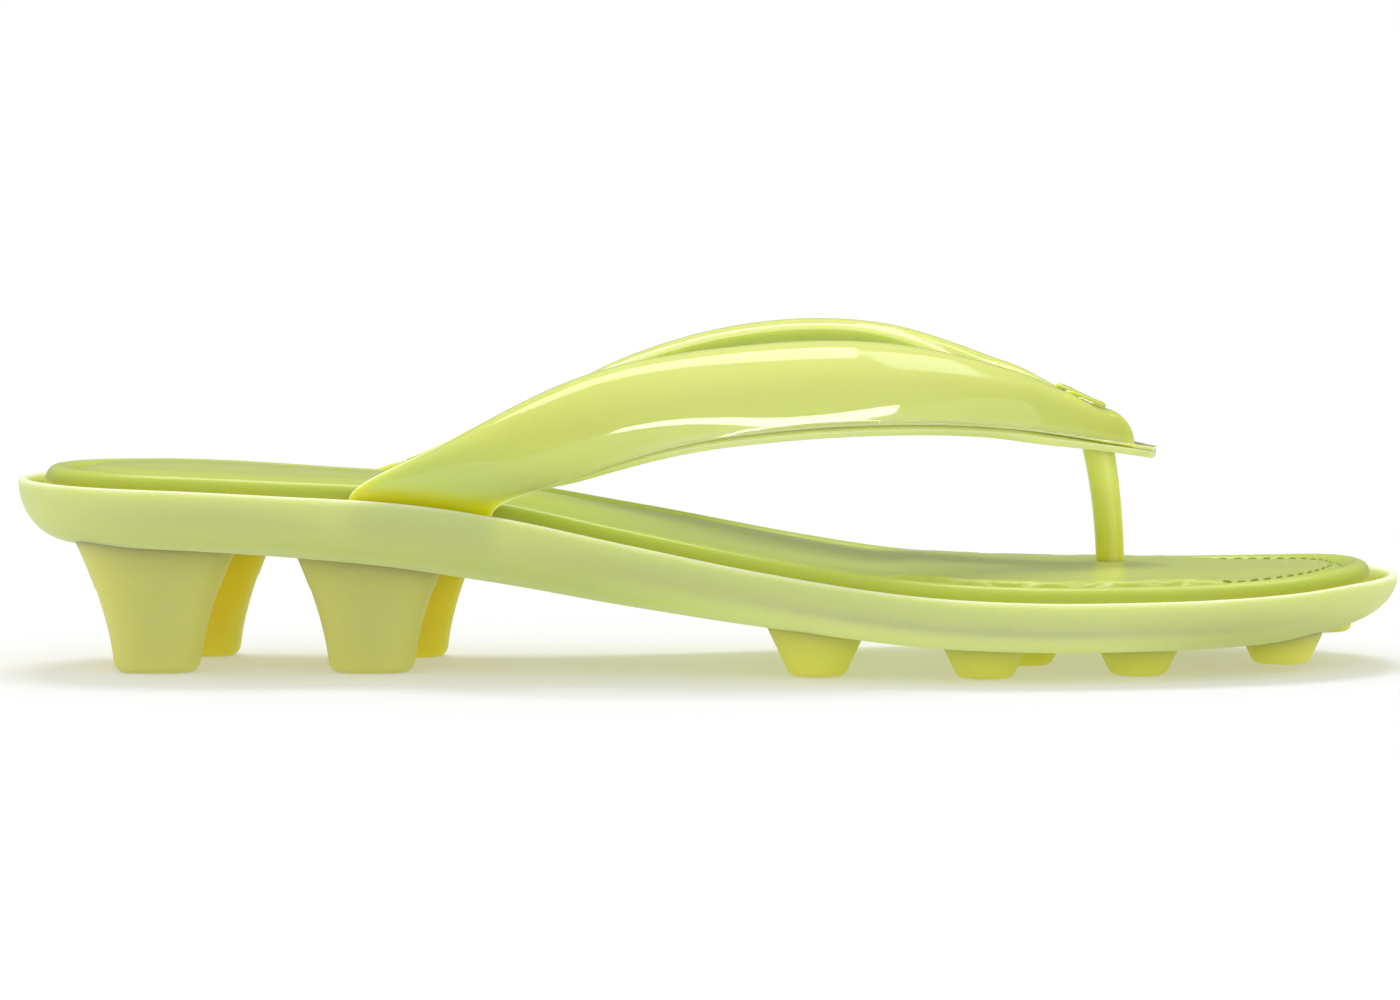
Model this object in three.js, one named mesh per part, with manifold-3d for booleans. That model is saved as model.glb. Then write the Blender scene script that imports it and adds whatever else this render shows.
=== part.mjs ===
// Thong sandal with a studded sole, for the right foot.
// Sizes are millimetres. x runs from the heel end to the toe, y towards the inner (medial) side of the foot,
// z up from the floor. "Share" is a place along the sole: 0 at the heel end, 1 at the toe end.

import * as THREE from 'three';
import { mergeVertices } from 'three/addons/utils/BufferGeometryUtils.js';
import Module from 'manifold-3d';

const wasm = await Module();
wasm.setup();

// ---- Driving dimensions ----

// Sole outline
const soleLength = 261;
const heelWidth = 62;
const waistWidth = 58;
const ballWidth = 90;
const heelRadius = 30;
const toeRadius = 33;
const toeShift = 6; // how far the toe end leans to the medial side

// Height of the tray's rim above the floor
const heelRimHeight = 35;
const ballRimHeight = 14.9;
const toeSpring = 1.9; // extra height of the rim at the toe end

// Outsole tray
const heelDepth = 11.6; // rim to underside
const waistDepth = 12.7;
const ballDepth = 9.9;
const trayRecess = 6; // rim to inner floor
const rimWall = 1.8;
const wallFoot = 2.1; // wall at the inner floor
const wallFootRise = 1.2; // height of the fillet at the wall's foot
const sideTuck = 8; // how far the underside's flat is drawn in from the outline
const heelTuck = 10;
const toeTuck = 16;
const rimDrip = 0.4; // how far the hull's edge stops short of the rim
const rimRounding = 0.5;
const flexLine = 0.6365; // where the sole bends, between two rows of studs

// Studs
const heelStudLength = 16;
const heelStudWidth = 13.5;
const heelStudFlare = 7.3; // growth of each side from the floor up to flareHeight
const flareHeight = 24;
const heelStudPower = 2.7; // 2 is an ellipse, more is squarer
const heelFlarePower = 1.6;
const heelSideFlare = 0.45; // part of the flare on the sides, where all of it turns in under the heel
const studRadius = 5.3; // forefoot stud at its tip
const studSlope = 0.46; // growth of a forefoot stud's radius per millimetre of height
const studTipRounding = 1.1;
const pegRadius = 3.6;
const pegHeight = 2;

// Footbed
const boardThickness = 1.5;
const coverThickness = 0.7;
const padSideInset = 3.3; // outline to the footbed's edge
const padEndInset = 4.8;
const padSoftness = 0.35; // extra room round the foam's edge
const archRise = 1.7; // arch support along the medial side
const shankWidth = 14;
const shankThickness = 1.2;

// Straps
const strapHeight = 65.6; // crest of the medial branch above the floor
const strapWall = 1.6;
const strapEdge = 0.8; // thickness of the strap's bare edge
const strapDome = 6.2; // how far the branches puff out over their edges
const outerFlatness = 2.4; // of the dome's outer half, more is flatter on top
const innerFlatness = 2.6;
const innerSide = 1.9; // more is steeper where the dome meets its inner edge
const linerThickness = 1;
const linerOverhang = 0.6;
const linerStart = 1.7; // row of the strap where the liner begins, over the rim
const hollowEnd = 0.2; // rows over which the hollow closes before the lip
const strapRootRear = 0.246;
const strapRootFront = 0.347;
const strapLift = 8; // least height of a branch over the tray's rim, past its root
const anchorThickness = 2;
const anchorReach = 9;
const anchorSetback = 0.6; // wall's foot to the anchor
const bossShare = 0.769;
const bossAcross = 0.172; // part of half the ball's width, to the medial side
const bossLength = 10;
const bossWidth = 7.5;
const bossThickness = 0.7;
const bossSeat = 0.35; // film of adhesive under the boss

// Toe post
const postShare = 0.7925;
const postOffset = 8.6; // medial of the sole's straight centreline
const postLength = 5.3;
const postWidth = 6.2;
const postTopGrowth = 1.2;
const postLean = 4.3; // how far the post's top leans back to the heel
const postReach = 0.72; // drawn height as a part of strapHeight, before the strap trims it
const postGrowthPower = 2.4;
const postLeanPower = 2.6;
const postSquareness = 2.4; // 2 is an ellipse
const postAnchorRadius = 7;

// Fits
const gap = 0.3; // between pieces that touch
const floorFilm = 1.2; // least thickness left under a pocket

// ---- Plain helpers ----

const clamp01 = (value) => Math.min(1, Math.max(0, value));

// A smooth curve through [place, value] pairs, as a function of the place.
function curveThrough(pairs) {
  const curve = new THREE.CubicInterpolant(pairs.map((p) => p[0]), pairs.map((p) => p[1]), 1);
  return (place) => curve.evaluate(place)[0];
}

// A manifold solid from a geometry, with its shared corners merged.
function solidFrom(geometry) {
  const bare = new THREE.BufferGeometry();
  bare.setAttribute('position', geometry.getAttribute('position'));
  bare.setIndex(geometry.getIndex());
  const merged = mergeVertices(bare);
  return new wasm.Manifold(new wasm.Mesh({
    numProp: 3,
    vertProperties: new Float32Array(merged.getAttribute('position').array),
    triVerts: new Uint32Array(merged.getIndex().array),
  }));
}

function geometryFrom(solid) {
  const mesh = solid.getMesh();
  const geometry = new THREE.BufferGeometry();
  geometry.setAttribute('position', new THREE.BufferAttribute(mesh.vertProperties, 3));
  geometry.setIndex(new THREE.BufferAttribute(mesh.triVerts, 1));
  return geometry;
}

const cut = (base, ...tools) =>
  geometryFrom(tools.reduce((left, tool) => left.subtract(solidFrom(tool)), solidFrom(base)));
const join = (base, ...others) =>
  geometryFrom(others.reduce((sum, other) => sum.add(solidFrom(other)), solidFrom(base)));
const overlap = (a, b) => geometryFrom(solidFrom(a).intersect(solidFrom(b)));

// An indexed geometry from points and triangles of point numbers.
function meshOf(points, triangles) {
  const geometry = new THREE.BufferGeometry().setFromPoints(points);
  geometry.setIndex(triangles.flat());
  return geometry;
}

// A closed body from rings of points, each ring one step outwards or upwards from the last. Point 0 of a
// ring is its heel end and the middle point its toe end, so the end caps are strips between facing points.
function ringBody(rings) {
  const count = rings[0].length;
  const triangles = [];
  for (let k = 0; k < rings.length - 1; k += 1) {
    for (let i = 0; i < count; i += 1) {
      const a = k * count + i;
      const b = k * count + ((i + 1) % count);
      triangles.push([a, b, b + count], [a, b + count, a + count]);
    }
  }
  const capRing = (first, flip) => {
    for (let i = 0; i < count / 2; i += 1) {
      const near = [first + i, first + i + 1];
      const far = [first + ((count - i) % count), first + count - i - 1];
      const faces = [];
      if (i < count / 2 - 1) faces.push([near[0], near[1], far[1]]);
      if (i > 0) faces.push([near[0], i < count / 2 - 1 ? far[1] : near[1], far[0]]);
      for (const face of faces) triangles.push(flip ? face.reverse() : face);
    }
  };
  capRing(0, true);
  capRing((rings.length - 1) * count, false);
  return meshOf(rings.flat(), triangles);
}

// ---- The sole's outline and levels ----

const sideSteps = 25;
const outlineCount = 2 * sideSteps;

// The half-width is a swelling times a sine that is zero at both ends, which rounds the heel and the toe.
const sine = (share) => 2 * Math.sqrt(share * (1 - share));
const endSwelling = (radius) => Math.sqrt(2 * radius * soleLength) / 2;
const swelling = (share, halfWidth) => [share, halfWidth / sine(share)];

const lateralSwelling = curveThrough([
  [0, endSwelling(heelRadius)],
  swelling(0.12, heelWidth / 2),
  swelling(0.24, 0.98 * heelWidth / 2),
  swelling(0.38, waistWidth / 2),
  swelling(0.54, 0.8 * ballWidth / 2),
  swelling(0.71, ballWidth / 2),
  swelling(0.86, 0.88 * ballWidth / 2),
  [1, endSwelling(toeRadius)],
]);
const medialSwelling = curveThrough([
  [0, endSwelling(heelRadius)],
  swelling(0.12, heelWidth / 2),
  swelling(0.24, 0.96 * heelWidth / 2),
  swelling(0.4, 0.92 * waistWidth / 2),
  swelling(0.56, 0.75 * ballWidth / 2),
  swelling(0.73, 0.96 * ballWidth / 2),
  swelling(0.86, 0.84 * ballWidth / 2),
  [1, endSwelling(toeRadius)],
]);
const centreLine = curveThrough([[0, 0], [0.55, 0], [0.8, 0.45 * toeShift], [1, toeShift]]);

// Distance from the straight centreline to the outline: side is -1 for lateral, 1 for medial.
function edgeAt(share, side) {
  const swell = side < 0 ? lateralSwelling(share) : medialSwelling(share);
  return centreLine(share) + side * swell * sine(share);
}

const rimDrop = curveThrough([
  [0, 1.02], [0.06, 1], [0.13, 0.98], [0.2, 0.935], [0.28, 0.87], [0.35, 0.74], [0.44, 0.5],
  [0.54, 0.255], [0.64, 0.075], [0.73, 0.01], [0.8, 0], [1, 0],
]);
const toeRise = curveThrough([[0, 0], [0.8, 0], [0.86, 0.1], [0.92, 0.42], [0.96, 0.84], [1, 1]]);
const depthAt = curveThrough([
  [0, heelDepth], [0.18, heelDepth], [0.33, waistDepth], [0.6, ballDepth], [1, ballDepth],
]);

const rimLevel = (share) =>
  ballRimHeight + (heelRimHeight - ballRimHeight) * rimDrop(share) + toeSpring * toeRise(share);
const undersideLevel = (share) => rimLevel(share) - depthAt(share);
const floorLevel = (share) => rimLevel(share) - trayRecess;
const padEdgeInset = curveThrough([
  [0, padEndInset], [0.1, padSideInset], [0.2, padSideInset + 0.2], [0.25, padEndInset + 0.1],
  [0.35, padEndInset + 0.1], [0.42, padSideInset], [0.9, padSideInset], [1, padEndInset],
]);
const tuckAt = curveThrough([
  [0, heelTuck], [0.08, (heelTuck + sideTuck) / 2], [0.2, sideTuck], [0.8, sideTuck],
  [0.9, sideTuck + 2.5], [1, toeTuck],
]);

const outline = [];
for (let i = 0; i < outlineCount; i += 1) {
  const step = i <= sideSteps ? i : outlineCount - i;
  const share = (1 - Math.cos(Math.PI * step / sideSteps)) / 2;
  outline.push({ share, x: share * soleLength, y: edgeAt(share, i <= sideSteps ? -1 : 1) });
}
const inward = outline.map((point, i) => {
  const next = outline[(i + 1) % outlineCount];
  const last = outline[(i + outlineCount - 1) % outlineCount];
  return new THREE.Vector2(last.y - next.y, next.x - last.x).normalize();
});

// The outline drawn in by a distance, then by a part of the way to the middle, at a level that follows the
// sole. insetAt and levelAt are functions of the share. levelAt is also given the place across, -1 to 1.
function soleRing(insetAt, levelAt, toMiddle = 0) {
  const drawn = outline.map((point, i) => new THREE.Vector2(point.x, point.y)
    .addScaledVector(inward[i], insetAt(point.share)));
  return drawn.map((point, i) => {
    const facing = drawn[(outlineCount - i) % outlineCount];
    const middle = new THREE.Vector2().addVectors(point, facing).multiplyScalar(0.5);
    const placed = point.clone().lerp(middle, toMiddle);
    const share = clamp01(placed.x / soleLength);
    const [lateral, medial] = [edgeAt(share, -1), edgeAt(share, 1)];
    const across = (2 * placed.y - lateral - medial) / Math.max(1, medial - lateral);
    return new THREE.Vector3(placed.x, placed.y, levelAt(share, across));
  });
}

// A slab that follows the sole's levels between two shares. Its sides are functions of the share.
function soleSlab(fromShare, toShare, lateralAt, medialAt, bottomAt, topAt) {
  const steps = 10;
  const ringAt = (levelAt) => {
    const points = [];
    for (let i = 0; i < 2 * steps + 2; i += 1) {
      const forward = i <= steps;
      const share = fromShare + (toShare - fromShare) * (forward ? i : 2 * steps + 1 - i) / steps;
      const y = forward ? lateralAt(share) : medialAt(share);
      points.push(new THREE.Vector3(share * soleLength, y, levelAt(share)));
    }
    return points;
  };
  const [bottom, top] = [ringAt(bottomAt), ringAt(topAt)];
  const count = bottom.length;
  const triangles = [];
  for (let i = 0; i < count; i += 1) {
    const j = (i + 1) % count;
    triangles.push([i, j, j + count], [i, j + count, i + count]);
  }
  for (let i = 0; i < steps; i += 1) {
    const [a, b, c, d] = [i, i + 1, count - 2 - i, count - 1 - i];
    triangles.push([a, c, b], [a, d, c]);
    triangles.push([a + count, b + count, c + count], [a + count, c + count, d + count]);
  }
  return meshOf([...bottom, ...top], triangles);
}

// A stack of upright superellipse sections, each { x, y, z, halfX, halfY, power }.
function columnBody(sections) {
  const count = 20;
  const rings = sections.map((section) => {
    const points = [];
    for (let i = 0; i < count; i += 1) {
      const angle = Math.PI + 2 * Math.PI * i / count;
      const power = 2 / (section.power ?? 2);
      const bend = (value) => Math.sign(value) * Math.abs(value) ** power;
      const across = section.halfX * bend(Math.cos(angle));
      const side = section.halfY * bend(Math.sin(angle));
      points.push(new THREE.Vector3(section.x + across, section.y + side, section.z));
    }
    return points;
  });
  return ringBody(rings);
}

function pegColumn(x, y, fromZ, toZ, radius) {
  return columnBody([
    { x, y, z: fromZ, halfX: radius, halfY: radius },
    { x, y, z: toZ, halfX: radius, halfY: radius },
  ]);
}

// ---- Outsole ----

// The boat-shaped outside of the tray as rings from the underside up to the rim, drop lowers every ring.
function hullRings(drop = 0) {
  const rings = [];
  for (const turn of [0, 0.25, 0.5, 0.77, 1]) {
    const angle = turn * Math.PI / 2;
    rings.push(soleRing(
      (share) => tuckAt(share) * (1 - Math.sin(angle)),
      (share) => rimLevel(share) - depthAt(share) * Math.cos(angle) - drop - rimDrip * turn,
    ));
  }
  return rings;
}

// Everything above the tray's underside, used to trim what is bonded under it.
function spaceOverSole() {
  const ceiling = (share) => rimLevel(share) + soleLength;
  return ringBody([...hullRings(gap), soleRing(() => -1, ceiling)]);
}

// The wall is wider at its foot where the underside is rounder, so the tray is never thin at its corner.
const wallFootAt = (share) => wallFoot * tuckAt(share) / sideTuck;

function trayBody() {
  return ringBody([
    ...hullRings(),
    soleRing(() => rimRounding, rimLevel),
    soleRing(() => rimWall - rimRounding, rimLevel),
    soleRing(() => rimWall, (share) => rimLevel(share) - rimDrip),
    soleRing((share) => (rimWall + wallFootAt(share)) / 2, (share) => floorLevel(share) + wallFootRise),
    soleRing((share) => wallFootAt(share) + gap, floorLevel),
    soleRing(() => 3 * wallFoot, floorLevel),
  ]);
}

// ---- Studs ----

const heelStuds = [
  { name: 'heel_stud_rear_lateral', share: 0.1043, across: -0.47 },
  { name: 'heel_stud_rear_medial', share: 0.124, across: 0.53 },
  { name: 'heel_stud_front_lateral', share: 0.258, across: -0.47 },
  { name: 'heel_stud_front_medial', share: 0.277, across: 0.52 },
];
// tip is how far the last studs stand off the floor, where the toe springs up.
const forefootStuds = [
  { name: 'forefoot_stud_lateral_1', share: 0.576, across: -0.58 },
  { name: 'forefoot_stud_medial_1', share: 0.583, across: 0.58 },
  { name: 'forefoot_stud_lateral_2', share: 0.6945, across: -0.61 },
  { name: 'forefoot_stud_medial_2', share: 0.711, across: 0.61 },
  { name: 'forefoot_stud_centre', share: 0.727, across: -0.07 },
  { name: 'forefoot_stud_lateral_3', share: 0.8045, across: -0.54 },
  { name: 'forefoot_stud_medial_3', share: 0.82, across: 0.55 },
  { name: 'forefoot_stud_lateral_4', share: 0.9095, across: -0.46, tip: 1.2 },
  { name: 'forefoot_stud_medial_4', share: 0.948, across: 0.24, tip: 5 },
];

// Where a stud stands: across is a part of the way from the middle of the sole to its edge.
function studPlace(stud) {
  const [lateral, medial] = [edgeAt(stud.share, -1), edgeAt(stud.share, 1)];
  const middle = (lateral + medial) / 2;
  return { x: stud.share * soleLength, y: middle + stud.across * (medial - lateral) / 2 };
}

const studOverlap = 3.5; // how far a stud's body runs up past the underside before it is trimmed
const pegTop = (share) => undersideLevel(share) + pegHeight;

function studPeg(stud, grow = 0) {
  const { x, y } = studPlace(stud);
  const top = pegTop(stud.share) + grow;
  return pegColumn(x, y, undersideLevel(stud.share) - 1, top, pegRadius + grow);
}

function heelStud(stud) {
  const { x, y } = studPlace(stud);
  const top = undersideLevel(stud.share) + studOverlap;
  const section = (z, drawnIn) => {
    const flare = heelStudFlare * (z / flareHeight) ** heelFlarePower;
    const sideFlare = heelSideFlare * flare;
    return {
      x,
      y: y - Math.sign(stud.across) * sideFlare,
      z,
      halfX: heelStudLength / 2 + flare - drawnIn,
      halfY: heelStudWidth / 2 + sideFlare - drawnIn,
      power: heelStudPower,
    };
  };
  const sections = [section(0, studTipRounding), section(studTipRounding * 0.4, studTipRounding * 0.3)];
  const steps = 6;
  for (let i = 0; i < steps; i += 1) {
    sections.push(section(studTipRounding + (top - studTipRounding) * i / (steps - 1), 0));
  }
  return columnBody(sections);
}

function forefootStud(stud) {
  const { x, y } = studPlace(stud);
  const foot = stud.tip ?? 0;
  const top = undersideLevel(stud.share) + studOverlap;
  const radiusAt = (z) => studRadius + studSlope * (z - foot);
  return columnBody([
    [foot, studRadius - studTipRounding],
    [foot + studTipRounding * 0.4, studRadius - 0.2],
    [foot + studTipRounding, radiusAt(foot + studTipRounding)],
    [top, radiusAt(top)],
  ].map(([z, half]) => ({ x, y, z, halfX: half, halfY: half })));
}

// A stud trimmed to the underside of the sole, with its peg on top.
const bonded = (stud, body) => join(cut(body, spaceOverSole()), studPeg(stud));

// ---- Footbed ----

const boardBottom = (share) => floorLevel(share) + gap;
const boardTop = (share) => boardBottom(share) + boardThickness;

function insoleBoard() {
  const inset = (share) => padEdgeInset(share) + coverThickness + gap;
  return ringBody([soleRing(inset, boardBottom), soleRing(inset, boardTop)]);
}

// The pad's surface as [distance in from its edge, height over the rim]: edge roll, channel, raised middle.
const padSection = [[0, -1], [0.4, 1], [1.4, 2.2], [2.8, 2.5], [4.8, 1.7], [8, 2.1], [14, 2.7]];
const padCrown = 3;

// The arch support rises towards the medial edge, between the heel and the ball.
const archSwell = curveThrough([
  [0, 0], [0.28, 0], [0.38, 0.75], [0.48, 1], [0.57, 0.55], [0.66, 0], [1, 0],
]);
const archLift = (share, across) =>
  archRise * archSwell(share) * THREE.MathUtils.smoothstep(across, -0.2, 0.75);

// The pad's surface from its hem to its middle, sunk by a thickness.
function padRings(sink, hemLevel) {
  const sideSink = (distance) => sink * clamp01(1 - distance / 2.8);
  const rings = [soleRing((share) => padEdgeInset(share) + sink, hemLevel)];
  for (const [distance, height] of padSection) {
    const inset = (share) => padEdgeInset(share) + distance + sideSink(distance);
    const levelAt = (share, across) => rimLevel(share) + height - sink + archLift(share, across);
    rings.push(soleRing(inset, levelAt));
  }
  const last = padSection[padSection.length - 1][0];
  const insetLast = (share) => padEdgeInset(share) + last;
  const crown = (share, across) => rimLevel(share) + padCrown - sink + archLift(share, across);
  rings.push(soleRing(insetLast, crown, 0.6));
  return rings;
}

function footbedFoam() {
  const sink = coverThickness + gap;
  const bottom = (share) => boardTop(share) + gap;
  const inset = (share) => padEdgeInset(share) + sink + padSoftness;
  return ringBody([soleRing(inset, bottom), ...padRings(sink, (share) => bottom(share) + 0.8)]);
}

function footbedCover() {
  const hem = (share) => boardTop(share) + 2 * gap;
  const inside = padRings(coverThickness, hem).reverse();
  return ringBody([...inside, ...padRings(0, hem)]);
}

// The shank lies in a groove in the tray's floor, under the board.
const shankFrom = 0.2;
const shankTo = 0.56;

function shankSlab(grow) {
  const half = shankWidth / 2 + grow;
  const reach = grow / soleLength;
  const top = grow > 0 ? boardBottom : floorLevel;
  const bottom = (share) => floorLevel(share) - shankThickness - grow;
  return soleSlab(shankFrom - reach, shankTo + reach, () => -half, () => half, bottom, top);
}

// ---- Straps ----

// Rows of a branch, from its root in the tray to the toe end, as [share, across, level]. Across is a part of
// half the ball's width, from the straight centreline, positive to the medial side. Levels are parts of
// strapHeight. The inner edges of both branches meet at the fork and run on as one ridge.
const branchRows = {
  lateral: {
    side: -1,
    outer: [
      [0.402, -0.71, 0.56], [0.48, -0.755, 0.652], [0.558, -0.71, 0.692], [0.636, -0.54, 0.7],
      [0.7, -0.27, 0.682], [0.75, -0.09, 0.652], [0.79, 0.02, 0.628], [0.822, 0.12, 0.606],
    ],
    inner: [
      [0.31, -0.585, 0.652], [0.408, -0.47, 0.826], [0.52, -0.33, 0.896], [0.615, -0.18, 0.9],
      [0.69, 0.01, 0.83],
    ],
  },
  medial: {
    side: 1,
    outer: [
      [0.43, 0.69, 0.57], [0.497, 0.755, 0.67], [0.57, 0.735, 0.715], [0.644, 0.62, 0.715],
      [0.706, 0.5, 0.685], [0.752, 0.4, 0.652], [0.79, 0.345, 0.63], [0.822, 0.28, 0.606],
    ],
    inner: [
      [0.332, 0.565, 0.62], [0.422, 0.5, 0.822], [0.522, 0.43, 0.94], [0.618, 0.36, 0.95],
      [0.69, 0.27, 0.848],
    ],
  },
};
const forkPoint = [0.736, 0.145, 0.728];
const ridgeRows = [forkPoint, [0.784, 0.18, 0.632], [0.8255, 0.2, 0.606]];
const forkRow = 7; // rows 0 and 1 are the root at the tray's floor and at its rim
const lastRow = 9;
const frontStart = 8;
const frontEnd = 8.58; // where the dome comes down to the flat lip at the toe end
const domeRows = curveThrough([
  [0, 0.02], [1, 0.06], [2, 0.68], [3, 0.92], [4, 1], [5, 1], [6, 1], [7, 0.96], [8, 0.9], [9, 0.9],
]);
const rootInset = 3.7; // outline to the strap's base plane in the tray
const rootLift = 1.2; // the tray's floor is crowned under the strap's straight end

function placeAt([share, across, level]) {
  const z = Math.max(level * strapHeight, rimLevel(share) + strapLift);
  return new THREE.Vector3(share * soleLength, across * ballWidth / 2, z);
}

function rootRows(share, side) {
  const y = edgeAt(share, side) - side * rootInset;
  const x = share * soleLength;
  const foot = floorLevel(share) + gap + rootLift;
  return [new THREE.Vector3(x, y, foot), new THREE.Vector3(x, y, rimLevel(share) + 1)];
}

const smooth = (points) => new THREE.CatmullRomCurve3(points, false, 'centripetal');
const ridgeCurve = smooth(ridgeRows.map(placeAt));

function branchCurves({ side, outer, inner }) {
  return {
    side,
    outer: smooth([...rootRows(strapRootFront, side), ...outer.map(placeAt)]),
    inner: smooth([...rootRows(strapRootRear, side), ...inner.map(placeAt), placeAt(forkPoint)]),
  };
}
const branches = Object.values(branchRows).map(branchCurves);

const outerAt = (branch, row) => branch.outer.getPoint(clamp01(row / lastRow));
const innerAt = (branch, row) => (row < forkRow
  ? branch.inner.getPoint(clamp01(row / forkRow))
  : ridgeCurve.getPoint(clamp01((row - forkRow) / (lastRow - forkRow))));
const middleAt = (branch, row) => outerAt(branch, row).lerp(innerAt(branch, row), 0.5);

// Past the fork the two branches share the ridge's normal, and the crease between them fades out.
const smoothStep = (value) => THREE.MathUtils.smoothstep(value, 0, 1);
const shareRidge = (row) => smoothStep((row - forkRow + 1) / 1);
const creaseFade = (row) => smoothStep((row - forkRow) / 1);

function ridgeNormal(row) {
  const place = clamp01((Math.max(row, forkRow) - forkRow) / (lastRow - forkRow));
  const along = ridgeCurve.getTangent(place);
  return new THREE.Vector3(-along.z, 0, along.x).normalize();
}

function normalAt(branch, row) {
  const reach = 0.12;
  const along = middleAt(branch, Math.min(lastRow, row + reach))
    .sub(middleAt(branch, Math.max(0, row - reach)));
  const across = innerAt(branch, row).sub(outerAt(branch, row));
  const normal = branch.side < 0 ? along.cross(across) : across.cross(along);
  return normal.normalize().lerp(ridgeNormal(row), shareRidge(row)).normalize();
}

// The dome's height over the branch's flat, at a place u across from the outer edge (0) to the inner (1).
const outerArch = (u) => 1 - (1 - u) ** outerFlatness;
const innerArch = (u) => (1 - u ** innerFlatness) ** (1 / innerSide);
const arch = (u) => (u < 0.5 ? outerArch(2 * u) : innerArch(2 * u - 1));

function domeAt(row, u) {
  const front = (row - frontStart) / (frontEnd - frontStart);
  const fall = Math.sqrt(Math.max(0, 1 - Math.max(0, front) ** 2));
  const fade = creaseFade(row);
  return strapDome * domeRows(row) * fall * ((1 - fade) * arch(u) + fade * outerArch(u));
}

// A point over a branch: height along its normal, with the edges drawn in by inset.
function strapPoint(branch, row, u, height, inset) {
  const [outer, inner] = [outerAt(branch, row), innerAt(branch, row)];
  const across = new THREE.Vector3().subVectors(inner, outer).normalize();
  const innerInset = inset * (1 - clamp01(row - forkRow + 1));
  outer.addScaledVector(across, inset);
  inner.addScaledVector(across, -innerInset);
  return outer.lerp(inner, u).addScaledVector(normalAt(branch, row), height);
}

// A Y-shaped sheet with two skins. top and bottom give [height, inset] for a row and a place u across.
function strapBody(top, bottom, fromRow = 0, toRow = lastRow) {
  const columns = 6;
  const rowSteps = 22;
  const rows = [];
  for (let i = 0; i <= rowSteps; i += 1) rows.push(fromRow + (toRow - fromRow) * i / rowSteps);
  const nearest = rows.reduce((best, row, i) =>
    (Math.abs(row - forkRow) < Math.abs(rows[best] - forkRow) ? i : best), 0);
  rows[nearest] = forkRow;

  const points = [];
  const triangles = [];
  for (const branch of branches) {
    const skins = [top, bottom].map((skin) => rows.map((row) => {
      const line = [];
      for (let j = 0; j <= columns; j += 1) {
        const u = (1 - Math.cos(Math.PI * j / columns)) / 2;
        points.push(strapPoint(branch, row, u, ...skin(row, u)));
        line.push(points.length - 1);
      }
      return line;
    }));
    const quad = (a, b, c, d) => {
      const faces = branch.side < 0 ? [[a, b, c], [a, c, d]] : [[a, c, b], [a, d, c]];
      triangles.push(...faces);
    };
    const [upper, lower] = skins;
    const last = columns;
    for (let i = 0; i < rowSteps; i += 1) {
      for (let j = 0; j < columns; j += 1) {
        quad(upper[i][j], upper[i + 1][j], upper[i + 1][j + 1], upper[i][j + 1]);
        quad(lower[i][j], lower[i][j + 1], lower[i + 1][j + 1], lower[i + 1][j]);
      }
      quad(lower[i][0], lower[i + 1][0], upper[i + 1][0], upper[i][0]);
      if (i < nearest) quad(upper[i][last], upper[i + 1][last], lower[i + 1][last], lower[i][last]);
    }
    for (let j = 0; j < columns; j += 1) {
      quad(lower[0][j], upper[0][j], upper[0][j + 1], lower[0][j + 1]);
      quad(upper[rowSteps][j], lower[rowSteps][j], lower[rowSteps][j + 1], upper[rowSteps][j + 1]);
    }
  }
  return meshOf(points, triangles);
}

const shellTop = (row, u) => [strapEdge + domeAt(row, u), 0];

function strapShell() {
  const hollow = (row) => 1 - smoothStep((row - frontEnd + hollowEnd) / hollowEnd);
  const inside = (row, u) => {
    const height = domeAt(row, u);
    return [Math.max(0, height + strapEdge - strapWall) * hollow(row), strapWall * hollow(row)];
  };
  return strapBody(shellTop, inside);
}

function strapLiner() {
  const upper = () => [-gap, -linerOverhang];
  const lower = () => [-gap - linerThickness, -linerOverhang];
  return strapBody(upper, lower, linerStart);
}

// Everything over the straps' lower face, used to trim what ends under them.
function spaceOverStraps() {
  const reach = strapHeight;
  return strapBody(() => [reach, -2], () => [-2 * gap - linerThickness, -2], forkRow - 1);
}

function vampBoss() {
  const place = placeAt([bossShare, bossAcross, 0.5]);
  const section = { x: place.x, y: place.y, halfX: bossLength / 2, halfY: bossWidth / 2 };
  const column = columnBody([{ ...section, z: place.z }, { ...section, z: 2 * place.z }]);
  const over = (lift) => (row, u) => [strapEdge + domeAt(row, u) + lift, 0];
  const skin = strapBody(over(bossSeat + bossThickness), over(bossSeat), forkRow - 0.6, frontEnd - 0.05);
  return overlap(skin, column);
}

// ---- Anchors and toe post ----

function strapAnchor(side, grow) {
  const reach = grow / soleLength;
  const wallSide = (share) => edgeAt(share, side) - side * (wallFoot + anchorSetback - grow);
  const midSide = (share) => edgeAt(share, side) - side * (wallFoot + anchorSetback + anchorReach + grow);
  const bottom = (share) => floorLevel(share) - anchorThickness - grow;
  const top = grow > 0 ? boardBottom : floorLevel;
  const [lateral, medial] = side < 0 ? [wallSide, midSide] : [midSide, wallSide];
  return soleSlab(strapRootRear - reach, strapRootFront + reach, lateral, medial, bottom, top);
}

const postX = postShare * soleLength;
const anchorDepth = Math.min(anchorThickness, ballDepth - trayRecess - floorFilm - gap);

function postAnchor(grow) {
  const top = floorLevel(postShare);
  const bottom = top - anchorDepth - grow;
  return pegColumn(postX, postOffset, bottom, top + (grow > 0 ? 2 * gap : 0), postAnchorRadius + grow);
}

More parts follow.
